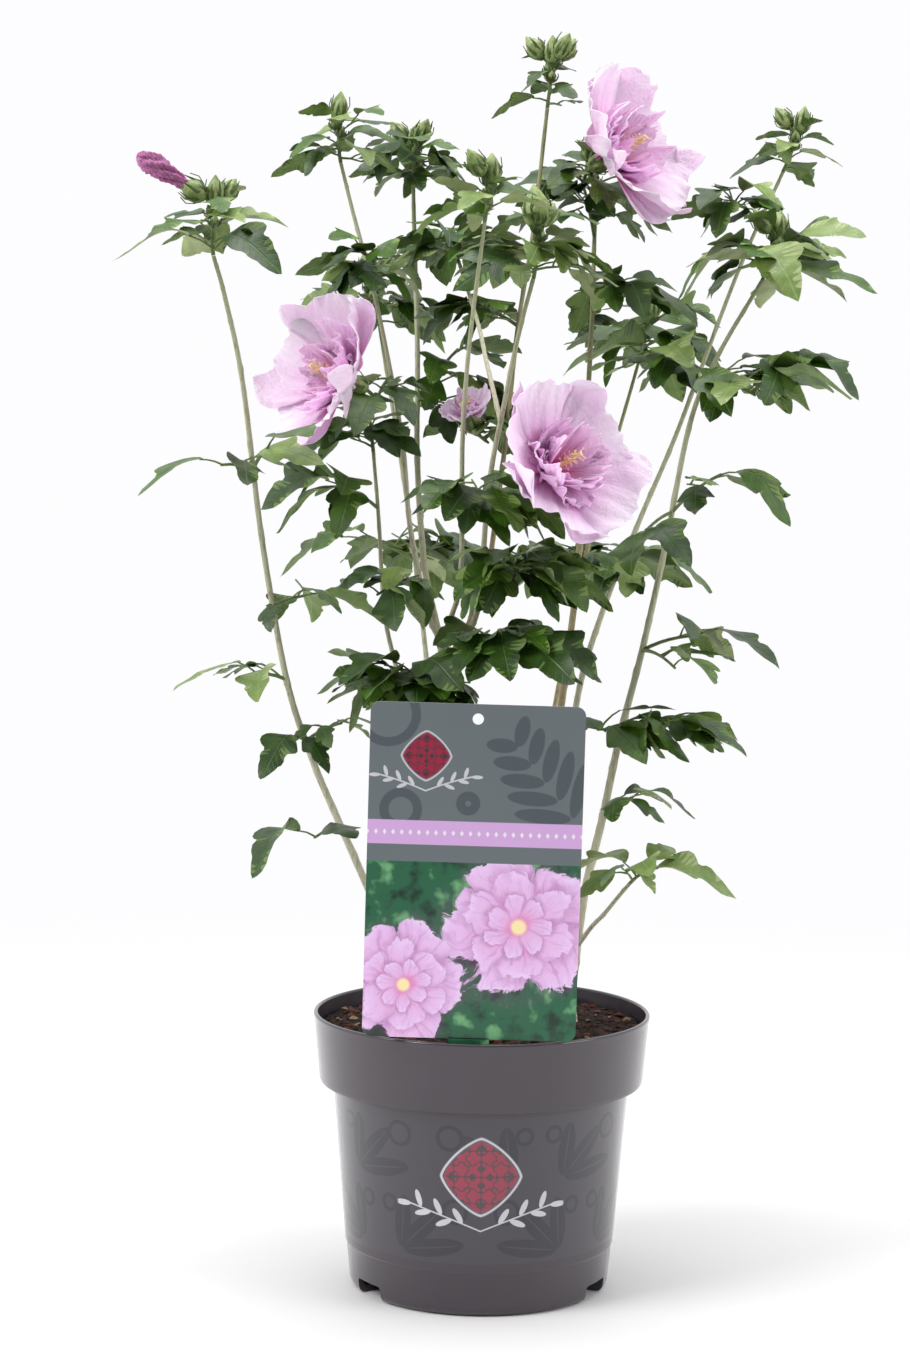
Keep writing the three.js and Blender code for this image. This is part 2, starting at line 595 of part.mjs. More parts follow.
// A spindle is pointed at both ends and widest at a fraction of its length
function spindle(from, to, radius, widest, sides) {
  const along = to.clone().sub(from).normalize();
  const middle = from.clone().lerp(to, widest);
  const points = [...ring(middle, crossDirections(along), radius, sides), from, to];
  const triangles = [];
  for (let j = 0; j < sides; j++) {
    const next = (j + 1) % sides;
    triangles.push([next, j, sides], [j, next, sides + 1]);
  }
  return solidOf(points, triangles);
}

function bloomFrame({ throat, face, span, state }) {
  const forward = vector(face).normalize();
  const right = UP.clone().cross(forward).normalize();
  const above = forward.clone().cross(right);
  return { throat: vector(throat), forward, right, above, span, state };
}

// A point of a petal: angle round the throat, distance from it, turned aside and raised forwards
function onPetal(flower, angle, u, v, lift) {
  const out = flower.right.clone().multiplyScalar(Math.cos(angle))
    .addScaledVector(flower.above, Math.sin(angle));
  const aside = flower.forward.clone().cross(out);
  return flower.throat.clone().addScaledVector(out, u).addScaledVector(aside, v)
    .addScaledVector(flower.forward, lift);
}

// The petals are one thin wavy funnel, sharp at its edge and pinched in between the petals
function corollaSolid(flower) {
  const { petals, edge, wave, middle, hollow, thickness, rise, turn, innerWave } = COROLLA;
  const radius = flower.span / 2;
  const count = petals * edge.length;
  const rim = [];
  const upper = [];
  const lower = [];
  for (let k = 0; k < count; k++) {
    const angle = (2 * Math.PI * k) / count + turn;
    const [reach, lift] = [edge[k % edge.length], wave[k % edge.length]];
    const halfway = middle * reach;
    const height = (rise * halfway - hollow * middle + lift * innerWave) * radius;
    rim.push(onPetal(flower, angle, reach * radius, 0, (rise * reach + lift) * radius));
    upper.push(onPetal(flower, angle, halfway * radius, 0, height + thickness / 2));
    lower.push(onPetal(flower, angle, halfway * radius, 0, height - thickness / 2));
  }
  const front = flower.throat.clone().addScaledVector(flower.forward, thickness);
  const back = flower.throat.clone().addScaledVector(flower.forward, -thickness);
  const points = [...rim, ...upper, ...lower, front, back];
  const triangles = [];
  for (let k = 0; k < count; k++) {
    const next = (k + 1) % count;
    const [a, b, c, d] = [k, next, count + next, count + k];
    triangles.push([a, b, c], [a, c, d], [d, c, 3 * count]);
    triangles.push([b, a, c + count], [a, d + count, c + count], [c + count, d + count, 3 * count + 1]);
  }
  return solidOf(points, triangles);
}

function bloomParts(bloom, stalkEnd) {
  const flower = bloomFrame(bloom);
  const { span } = flower;
  const ahead = (distance) => flower.throat.clone().addScaledVector(flower.forward, distance);
  const stalkTop = ahead(CALYX.inside - CALYX.length);
  const stalk = tube(new THREE.LineCurve3(stalkEnd, stalkTop), 1, TWIG.sides, () => CALYX.stalkRadius);
  const foot = ahead(-CALYX.length);
  if (flower.state === "faded") {
    return [stalk, spindle(foot, ahead(span), span * FADED.radius, FADED.widest, FADED.sides)];
  }
  const crownTop = ahead(INNER_CROWN.length * span);
  const crownRadius = INNER_CROWN.radius * span;
  return [
    stalk, corollaSolid(flower),
    spindle(foot, ahead(CALYX.inside), CALYX.radius, CALYX.widest, CALYX.sides),
    spindle(ahead(INNER_CROWN.start), crownTop, crownRadius, INNER_CROWN.widest, INNER_CROWN.sides),
    spindle(ahead(0), ahead(COLUMN.length * span), COLUMN.radius, COLUMN.widest, COLUMN.sides),
  ];
}

function bloomBeads(bloom) {
  const flower = bloomFrame(bloom);
  const points = [flower.throat];
  const reach = flower.state === "faded" ? BEADS.fadedReach : BEADS.openReach;
  for (let circle = 1; circle <= BEADS.rings; circle++) {
    const u = (circle / BEADS.rings) * flower.span * reach;
    const count = BEADS.rings * circle;
    for (let k = 0; k < count && flower.state === "open"; k++) {
      points.push(onPetal(flower, (2 * Math.PI * k) / count, u, 0, COROLLA.rise * u));
    }
    if (flower.state === "faded") points.push(flower.throat.clone().addScaledVector(flower.forward, u));
  }
  return points;
}

// A mass grows from one stem, which may fork; leaves turn round an upright stem by the golden turn,
// and lie to either side of one that leans, with the longest at its end
class Mass {
  constructor(spec, limbs) {
    Object.assign(this, { buds: 0, turn: 0 }, spec);
    this.draw = seeded(this.seed);
    this.limb = limbs.get(this.limb);
    this.upright = this.at === undefined;
    this.root = this.upright ? this.tipRoot() : this.limb.atHeight(this.at);
    this.twigs = this.ends.map((end) => this.twigCurve(vector(end)));
    this.leafList = [];
  }

  tipRoot() {
    const along = this.limb.curve.getTangent(1);
    return this.limb.curve.getPoint(1).addScaledVector(along, CLEARANCE);
  }

  twigCurve(end) {
    const first = this.upright
      ? this.root.clone().addScaledVector(this.limb.curve.getTangent(1), TWIG.straight)
      : this.root.clone().lerp(end, TWIG.lean).addScaledVector(UP, TWIG.arch * this.root.distanceTo(end));
    return new THREE.QuadraticBezierCurve3(this.root.clone(), first, end);
  }

  twigSolid(curve) {
    const steps = Math.max(1, Math.round(curve.getLength() / TWIG.step));
    return tube(curve, steps, TWIG.sides, (t) => TWIG.base + (TWIG.tip - TWIG.base) * t);
  }

  keepTwigs() {
    for (const twig of this.twigs) {
      keep(beadsAlong(twig, TWIG.beadStep).slice(1), BEADS.twigReach, this.name);
    }
    if (this.bloom) keep(bloomBeads(this.bloom), BEADS.bloomReach, this.name);
    for (const { tip } of this.budList()) keep([tip], BEADS.budReach, this.name);
  }

  // The first bud stands on the twig's end, the others lean out on stalks round it
  budList() {
    const twig = this.twigs[0];
    return Array.from({ length: this.buds }, (_, k) => {
      const turn = GOLDEN_TURN * k + this.seed;
      const spread = k === 0 ? BUD.upright : BUD.leaning;
      const lean = new THREE.Vector3(Math.cos(turn) * spread, Math.sin(turn) * spread, 1).normalize();
      const foot = twig.getPoint(k === 0 ? 1 : BUD.sideFoot);
      const waist = foot.clone().addScaledVector(lean, k === 0 ? 0 : BUD.stalk);
      return { foot, waist, tip: waist.clone().addScaledVector(lean, BUD.length) };
    });
  }

  leafPlan(k) {
    const twig = this.twigs[k % this.twigs.length];
    const rank = Math.floor(k / this.twigs.length);
    const ranks = Math.ceil(this.leaves / this.twigs.length);
    if (this.upright) {
      const t = HEAD.first + (HEAD.span * k) / Math.max(1, this.leaves - 1);
      const azimuth = THREE.MathUtils.degToRad(this.turn) + GOLDEN_TURN * k;
      const elevation = HEAD.low + HEAD.rise * t + HEAD.stray * this.draw();
      return { twig, t, azimuth, elevation, size: this.size * (HEAD.longest - HEAD.taper * t) };
    }
    const course = twig.getPoint(1).sub(twig.getPoint(0.5));
    const bearing = Math.atan2(course.y, course.x);
    const side = rank % 2 ? 1 : -1;
    const yaw = rank === 0 ? 0 : side * this.drawn(SHOOT.yaw);
    return {
      twig, t: SHOOT.last - (SHOOT.span * rank) / ranks, azimuth: bearing + yaw,
      elevation: this.drawn(SHOOT.elevation), size: this.size * (1 - (SHOOT.taper * rank) / ranks),
    };
  }

  drawn([least, range]) {
    return least + range * this.draw();
  }

  growLeaves() {
    for (let k = 0; k < this.leaves; k++) {
      const plan = this.leafPlan(k);
      const root = plan.twig.getPoint(plan.t);
      let { azimuth, size } = plan;
      for (let attempt = 0; attempt < LEAF.tries; attempt++) {
        const roll = this.drawn(LEAF.roll);
        const droop = this.drawn(LEAF.droop);
        const fold = this.drawn(LEAF.fold);
        const leaf = leafFrame(root, azimuth, plan.elevation, roll, size, droop, fold);
        const reach = LEAF.spacing * size;
        if (isFree(leafBeads(leaf), reach, this.name)) {
          keep(leafBeads(leaf), reach, this.name);
          this.leafList.push(leaf);
          break;
        }
        azimuth += (attempt % 2 ? -1 : 1) * LEAF.turnAside * (attempt + 1);
        size *= LEAF.shrink;
      }
    }
  }

  solid() {
    const parts = this.twigs.map((twig) => this.twigSolid(twig));
    for (const leaf of this.leafList) parts.push(leafSolid(leaf));
    for (const { foot, waist, tip } of this.budList()) {
      if (foot.distanceTo(waist) > 0) {
        parts.push(tube(new THREE.LineCurve3(foot, waist), 1, TWIG.sides, () => BUD.stalkRadius));
      }
      parts.push(spindle(waist.clone().lerp(tip, -BUD.foot), tip, BUD.radius, BUD.widest, BUD.sides));
    }
    if (this.bloom) parts.push(...bloomParts(this.bloom, this.twigs[0].getPoint(1)));
    let whole = parts[0];
    for (const part of parts.slice(1)) whole = whole.add(part);
    return outerShell(this.upright ? whole : whole.subtract(this.limb.solid(CLEARANCE)));
  }
}

const limbs = new Map(Object.entries(LIMBS).map(([name, spec]) => [name, new Limb(name, spec)]));
for (const limb of limbs.values()) {
  keep(beadsAlong(limb.curve, BEADS.limbStep), limb.base + BEADS.limbMargin, "limb");
}
keep(cardBeads(), BEADS.cardReach, "card");
const masses = MASSES.map((spec) => new Mass(spec, limbs));
for (const mass of masses) mass.keepTwigs();
for (const mass of masses) mass.growLeaves();

const shrub = new THREE.Group();
shrub.add(namedMesh("pot", potSolid(), "pot"));
shrub.add(namedMesh("soil", soilSolid(), "soil"));
shrub.add(namedMesh("picture_card", cardSolid(), "card"));
for (const limb of limbs.values()) {
  const whole = limb.solid();
  const solid = limb.parent ? outerShell(whole.subtract(limbs.get(limb.parent).solid(CLEARANCE))) : whole;
  shrub.add(namedMesh(limb.name, solid, "bark"));
}
for (const mass of masses) {
  const finish = mass.bloom?.state === "open" ? "bloom" : "foliage";
  shrub.add(namedMesh(`foliage_${mass.name}`, mass.solid(), finish));
}

export default shrub;
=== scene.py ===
"""A flowering shrub in its nursery pot: the looks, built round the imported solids.

Sizes are in millimetres, as in the part's source; meshes are written in metres.
"""

import json
import logging
import math
from contextlib import contextmanager
from dataclasses import dataclass
from enum import Enum
from functools import reduce
from typing import Callable, Iterator, Sequence

import bmesh
import bpy
import numpy as np
from mathutils import Matrix, Vector

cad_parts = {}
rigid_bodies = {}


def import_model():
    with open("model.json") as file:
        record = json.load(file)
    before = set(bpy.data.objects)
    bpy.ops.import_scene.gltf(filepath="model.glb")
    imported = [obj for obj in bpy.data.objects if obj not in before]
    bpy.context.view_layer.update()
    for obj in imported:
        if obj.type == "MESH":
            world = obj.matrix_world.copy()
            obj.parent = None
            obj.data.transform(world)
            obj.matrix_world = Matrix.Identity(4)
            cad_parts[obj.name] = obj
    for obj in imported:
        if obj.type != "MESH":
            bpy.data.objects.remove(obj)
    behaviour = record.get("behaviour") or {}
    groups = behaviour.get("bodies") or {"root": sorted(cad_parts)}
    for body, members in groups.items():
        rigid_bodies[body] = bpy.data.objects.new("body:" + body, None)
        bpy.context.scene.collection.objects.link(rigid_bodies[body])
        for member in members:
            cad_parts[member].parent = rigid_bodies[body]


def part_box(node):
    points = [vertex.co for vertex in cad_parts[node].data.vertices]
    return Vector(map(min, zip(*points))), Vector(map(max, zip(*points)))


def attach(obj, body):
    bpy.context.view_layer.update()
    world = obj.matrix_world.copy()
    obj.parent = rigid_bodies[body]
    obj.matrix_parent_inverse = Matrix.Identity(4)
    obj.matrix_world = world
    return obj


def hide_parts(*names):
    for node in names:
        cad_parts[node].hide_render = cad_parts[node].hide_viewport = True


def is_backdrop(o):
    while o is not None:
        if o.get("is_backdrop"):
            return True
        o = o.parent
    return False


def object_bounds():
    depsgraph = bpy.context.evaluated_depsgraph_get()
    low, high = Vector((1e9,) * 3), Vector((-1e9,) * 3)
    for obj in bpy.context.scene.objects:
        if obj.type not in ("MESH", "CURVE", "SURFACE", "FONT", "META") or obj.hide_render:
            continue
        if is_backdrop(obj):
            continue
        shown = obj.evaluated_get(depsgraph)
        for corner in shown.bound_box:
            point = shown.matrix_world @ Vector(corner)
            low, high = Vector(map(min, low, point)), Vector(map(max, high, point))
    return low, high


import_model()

LOG = logging.getLogger("shrub")
MM = 0.001
BODY = "root"
UP = np.array((0.0, 0.0, 1.0))
GOLDEN_TURN = math.radians(137.5)
Array = np.ndarray
Spot = tuple[float, float]
Limits = tuple[float, float]
Place = tuple[float, float, float]
Colour = tuple[float, float, float, float]
Faces = list[tuple[int, ...]]
Material = bpy.types.Material
Piece = bpy.types.Object


# Shader sockets as Python values


def srgb(*parts: float) -> Colour:
    """Turn a screen colour of 0 to 255 into the linear colour that a shader takes."""
    shares = [part / 255 for part in parts]
    return (*(s / 12.92 if s <= 0.04045 else ((s + 0.055) / 1.055) ** 2.4 for s in shares), 1.0)


def polar(middle: Spot, reach: float, turn: float) -> Spot:
    """Give the spot at a distance from another, turned from level in degrees."""
    angle = math.radians(turn)
    return (middle[0] + reach * math.cos(angle), middle[1] + reach * math.sin(angle))


def operator(operation: str, swapped: bool = False) -> Callable[..., "Signal"]:
    """Make a method of Signal from a Math node's operation.

    Args:
        operation: the node's operation.
        swapped: puts the signal last.

    Returns:
        The method.
    """

    def apply(signal: "Signal", *others: "Signal | float") -> "Signal":
        """Apply the operation to a signal and any other value."""
        values = (*others, signal) if swapped else (signal, *others)
        return signal.canvas.maths(operation, *values)

    return apply


class Signal:
    """A socket whose value varies over a surface, with the arithmetic that the finishes use."""

    def __init__(self, canvas: "Canvas", socket: bpy.types.NodeSocket) -> None:
        """Wrap one output socket of a canvas."""
        self.canvas = canvas
        self.socket = socket

    __add__ = __radd__ = operator("ADD")
    __sub__ = operator("SUBTRACT")
    __rsub__ = operator("SUBTRACT", swapped=True)
    __mul__ = __rmul__ = operator("MULTIPLY")
    __truediv__ = operator("DIVIDE")
    __pow__ = operator("POWER")
    __abs__ = operator("ABSOLUTE")
    highest = operator("MAXIMUM")
    fraction = operator("FRACT")
    whole = operator("FLOOR")
    sine = operator("SINE")

    def ease(self, low: float, high: float) -> "Signal":
        """Rise smoothly from 0 at a low value to 1 at a high one."""
        sockets = {"Value": self, "From Min": low, "From Max": high}
        return self.canvas.node("ShaderNodeMapRange", {"interpolation_type": "SMOOTHSTEP"}, sockets)

    def between(self, low: float, high: float, soft: float) -> "Signal":
        """Give 1 between two values, with a soft step above each."""
        return self.ease(low, low + soft) * (1 - self.ease(high, high + soft))


class Canvas:
    """The node tree of one finish."""

    def __init__(self, name: str) -> None:
        """Start a material with a bare Principled shader.

        Args:
            name: the material's name.
        """
        self.material = bpy.data.materials.new(name)
        self.material.use_nodes = True
        self.tree = self.material.node_tree
        self.shader = self.tree.nodes["Principled BSDF"]

    def node(self, kind: str, settings: dict, sockets: dict, output: int | str = 0) -> Signal:
        """Add one node.

        Args:
            kind: the node's type.
            settings: its properties, set before its sockets.
            sockets: values or signals by socket name or number.
            output: which of its outputs to use.

        Returns:
            The chosen output.
        """
        added = self.tree.nodes.new(kind)
        for key, value in settings.items():
            setattr(added, key, value)
        for key, value in sockets.items():
            if isinstance(value, Signal):
                self.tree.links.new(value.socket, added.inputs[key])
            else:
                added.inputs[key].default_value = value
        return Signal(self, added.outputs[output])

    def maths(self, operation: str, *values: Signal | float) -> Signal:
        """Add a Math node with its values in order."""
        return self.node("ShaderNodeMath", {"operation": operation}, dict(enumerate(values)))

    def mix(self, factor: Signal | float, first: Signal | Colour, second: Signal | Colour) -> Signal:
        """Mix two colours: the first at a factor of 0, the second at 1."""
        sockets = {0: factor, 6: first, 7: second}
        return self.node("ShaderNodeMix", {"data_type": "RGBA"}, sockets, output=2)

    def ramp(self, factor: Signal, stops: Sequence[tuple[float, Colour]]) -> Signal:
        """Read a colour from a ramp.

        Args:
            factor: where to read it.
            stops: position and colour of each stop, two or more in rising order.

        Returns:
            The colour.
        """
        colour = self.node("ShaderNodeValToRGB", {}, {"Fac": factor})
        elements = self.tree.nodes[-1].color_ramp.elements
        for _ in stops[2:]:
            elements.new(1.0)
        for element, (position, tone) in zip(elements, stops):
            element.position, element.color = position, tone
        return colour

    def place(self) -> Signal:
        """Take the place on the object, in metres."""
        return self.node("ShaderNodeTexCoord", {}, {}, output="Object")

    def chart(self) -> Signal:
        """Take the piece's own surface coordinates."""
        return self.node("ShaderNodeUVMap", {"uv_map": "chart"}, {})

    def split(self, vector: Signal) -> tuple[Signal, Signal, Signal]:
        """Split a vector into its three parts.

        Args:
            vector: what to split.

        Returns:
            Its x, y and z.
        """
        self.node("ShaderNodeSeparateXYZ", {}, {"Vector": vector})
        parts = self.tree.nodes[-1].outputs
        return Signal(self, parts[0]), Signal(self, parts[1]), Signal(self, parts[2])

    def join(self, x: Signal | float, y: Signal | float, z: Signal | float = 0.0) -> Signal:
        """Make a vector of three parts."""
        return self.node("ShaderNodeCombineXYZ", {}, {0: x, 1: y, 2: z})

    def noise(self, vector: Signal, scale: float, detail: float = 2.0, rough: float = 0.5) -> Signal:
        """Read a soft noise of about 0 to 1, with so many finer layers of such strength."""
        sockets = {"Vector": vector, "Scale": scale, "Detail": detail, "Roughness": rough}
        return self.node("ShaderNodeTexNoise", {}, sockets)

    def cells(self, vector: Signal, scale: float) -> Signal:
        """Read the distance to the nearest of many scattered points."""
        return self.node("ShaderNodeTexVoronoi", {}, {"Vector": vector, "Scale": scale})

    def plain(self, **values: float | Colour) -> None:
        """Set the shader's sockets that are the same all over, as Coat_Weight=0.2."""
        for key, value in values.items():
            self.shader.inputs[key.replace("_", " ")].default_value = value

    def feed(self, name: str, value: Signal) -> None:
        """Link a varying value to one of the shader's sockets."""
        self.tree.links.new(value.socket, self.shader.inputs[name])

    def relief(self, height: Signal, depth: float, strength: float = 1.0) -> None:
        """Give the surface a fine relief of 0 to 1, so many metres deep, of which a share shows."""
        sockets = {"Height": height, "Distance": depth, "Strength": strength}
        self.feed("Normal", self.node("ShaderNodeBump", {}, sockets))


@dataclass(frozen=True)
class Plane:
    """A surface laid flat: the place across and upwards on it."""

    x: Signal
    y: Signal

    def moved(self, middle: Spot) -> "Plane":
        """Measure from another middle."""
        return Plane(self.x - middle[0], self.y - middle[1])

    def reach(self) -> Signal:
        """Measure the distance from the middle."""
        return (self.x * self.x + self.y * self.y) ** 0.5

    def ring(self, middle: Spot, radius: float, full: float, clear: float) -> Signal:
        """Cover a ring whose line is full and then clear so far from its radius."""
        return 1 - abs(self.moved(middle).reach() - radius).ease(full, clear)

    def ellipse(self, middle: Spot, half: Spot, turn: float = 0.0, soft: float = 0.08) -> Signal:
        """Cover an ellipse.

        Args:
            middle: its centre.
            half: half its length and half its width.
            turn: how far its length is turned from level, in degrees.
            soft: how soft its edge is, as a share of its size.

        Returns:
            1 inside and 0 outside.
        """
        cosine, sine = math.cos(math.radians(turn)), math.sin(math.radians(turn))
        spot = self.moved(middle)
        along = (spot.x * cosine + spot.y * sine) / half[0]
        aside = (spot.y * cosine - spot.x * sine) / half[1]
        return (1 - along * along - aside * aside).ease(-soft, soft)


# Finishes


@dataclass(frozen=True)
class Emblem:
    """A berry-red lozenge with a pale rim and a lattice of florets, between two pale sprigs."""

    middle: Spot
    half: float
    berry: Colour = srgb(146, 26, 58)
    dark: Colour = srgb(64, 44, 52)
    pale: Colour = srgb(196, 196, 202)
    roundness: float = 1.35
    florets: float = 9.5
    fine_florets: float = 23.0
    leaf_turns: tuple[float, ...] = (58.0, -22.0, 66.0, -12.0, 74.0, 0.0)

    def paint(self, under: Signal, plane: Plane) -> Signal:
        """Lay the emblem over a colour.

        Args:
            under: the colour below it.
            plane: the surface, in millimetres.

        Returns:
            The colour with the emblem.
        """
        canvas, power = under.canvas, self.roundness
        spot = plane.moved(self.middle)
        edge = (abs(spot.x / self.half) ** power + abs(spot.y / self.half) ** power) ** (1 / power)
        inside = 1 - edge.ease(0.9, 0.93)
        rim = inside.highest((1 - edge.ease(1.0, 1.04)) * edge.ease(0.94, 0.97))
        lattice = abs(self.lattice(spot, self.florets) + self.lattice(spot, self.fine_florets) * 0.6)
        fill = canvas.mix(lattice.ease(0.16, 0.36), self.dark, self.berry)
        tone = canvas.mix(rim * (1 - inside), under, self.pale)
        tone = canvas.mix(inside, tone, fill)
        return canvas.mix(self.sprigs(spot), tone, self.pale)

    def lattice(self, spot: Plane, turns: float) -> Signal:
        """Cross two waves that turn so many radians from the middle to the tip."""
        return (spot.x * (turns / self.half)).sine() * (spot.y * (turns / self.half)).sine()

    def bow(self, aside: Signal | float) -> Signal | float:
        """Give the rise of a sprig's stalk over its foot, so far aside."""
        return (aside - self.half * 0.1) * 0.42 - (aside / self.half) ** 2 * self.half * 0.05

    def sprigs(self, spot: Plane) -> Signal:
        """Cover two leafy sprigs that spread from below the lozenge.

        Args:
            spot: the surface, from the emblem's middle.

        Returns:
            1 where a sprig lies.
        """
        size, foot = self.half, -1.35 * self.half
        side = Plane(abs(spot.x), spot.y)
        stalk = 1 - abs(side.y - foot - self.bow(side.x)).ease(0.28, 0.55)
        cover = stalk * (1 - side.x.ease(1.9 * size, 1.95 * size))
        for step, turn in enumerate(self.leaf_turns):
            out = size * (0.45 + 0.27 * step)
            tip = polar((out, foot + self.bow(out)), 0.24 * size, turn)
            cover = cover.highest(side.ellipse(tip, (0.22 * size, 0.075 * size), turn))
        return cover


@dataclass(frozen=True)
class PotPlastic:
    """Satin taupe plastic with a printed belt of fanned leaves and rings, tone on tone."""

    ground: Colour = srgb(44, 35, 45)
    belt: Colour = srgb(50, 46, 56)
    ink: Colour = srgb(18, 19, 34)
    worn: Colour = srgb(70, 64, 70)
    belt_low: float = 30.0
    belt_high: float = 113.0
    columns: int = 8
    row: float = 41.5
    radius: float = 80.0
    foot_radius: float = 71.5
    slope: float = 0.087
    panel_half: float = 48.0
    emblem: Emblem = Emblem((0.0, 80.0), 22.0)
    fan: tuple[Spot, ...] = ((8.0, 20.0), (44.0, 19.0), (84.0, 16.0))
    rings: tuple[Place, ...] = ((17.0, 9.0, 6.4), (-23.0, 10.0, 4.2))

    def material(self) -> Material:
        """Make the material.

        Returns:
            The finished material.
        """
        canvas = Canvas("pot_plastic")
        place = canvas.place()
        x, y, z = canvas.split(place)
        around = canvas.maths("ARCTAN2", x, 0 - y) / (2 * math.pi)
        height = z / MM
        beyond = Plane(x, y).reach() / MM - height * self.slope - self.foot_radius
        outside = beyond.ease(0.0, 0.5)
        belt = height.between(self.belt_low, self.belt_high, 0.5) * outside
        print_plane = Plane(around * (2 * math.pi * self.radius), height)
        tone = canvas.mix(belt * 0.85, self.ground, self.belt)
        tone = canvas.mix(belt * self.leaves(around, height), tone, self.ink)
        panel = belt * (1 - abs(print_plane.x).ease(self.panel_half, self.panel_half + 1))
        tone = canvas.mix(panel, tone, self.emblem.paint(tone, print_plane))
        cloud = canvas.noise(place, 28.0, 4.0)
        tone = canvas.mix((cloud - 0.5) * 0.25 + 0.06, tone, self.worn)
        canvas.feed("Base Color", tone)
        canvas.feed("Roughness", 0.34 + cloud * 0.14 - belt * 0.05)
        canvas.plain(Coat_Weight=1.0, Coat_Roughness=0.16, Specular_IOR_Level=0.3)
        canvas.relief(canvas.noise(place, 900.0, 2.0), 0.00005, 0.4)
        return canvas.material

    def leaves(self, around: Signal, height: Signal) -> Signal:
        """Lay fans of three slim leaves and pairs of rings in a half-drop lattice.

        Args:
            around: turn about the pot, -0.5 to 0.5.
            height: height in millimetres.

        Returns:
            1 where there is ink.
        """
        up = (height - self.belt_low) / self.row
        across = around * self.columns + up.whole() * 0.5 + 20
        mirror = (across.whole() * 0.5).fraction() * 4 - 1
        width = 2 * math.pi * self.radius / self.columns
        cell = Plane((across.fraction() - 0.5) * width * mirror, (up.fraction() - 0.5) * self.row)
        covers = []
        for turn, length in self.fan:
            middle = polar((-16, -15), length, turn)
            blade = cell.ellipse(middle, (length * 0.92, 5.2), turn)
            covers.append(blade * (1 - cell.ellipse(middle, (length * 0.8, 0.45), turn, 0.4)))
        covers += [cell.ring((x, y), radius, 0.9, 1.3) for x, y, radius in self.rings]
        return reduce(Signal.highest, covers)


@dataclass(frozen=True)
class Peat:
    """Moist dark peat or one of the bits in it."""

    name: str
    dark: Colour
    light: Colour
    grain: float = 420.0

    def material(self) -> Material:
        """Make the material.

        Returns:
            The finished material.
        """
        canvas = Canvas(self.name)
        place = canvas.place()
        fine = canvas.noise(place, self.grain, 5.0, 0.7)
        canvas.feed("Base Color", canvas.mix(fine.ease(0.35, 0.7), self.dark, self.light))
        canvas.plain(Roughness=0.95)
        canvas.relief(fine, 0.0012)
        return canvas.material


@dataclass(frozen=True)
class Layer:
    """One layer of petals of a painted blossom."""

    radius: float
    petals: int
    phase: float
    depth: float
    shade: float


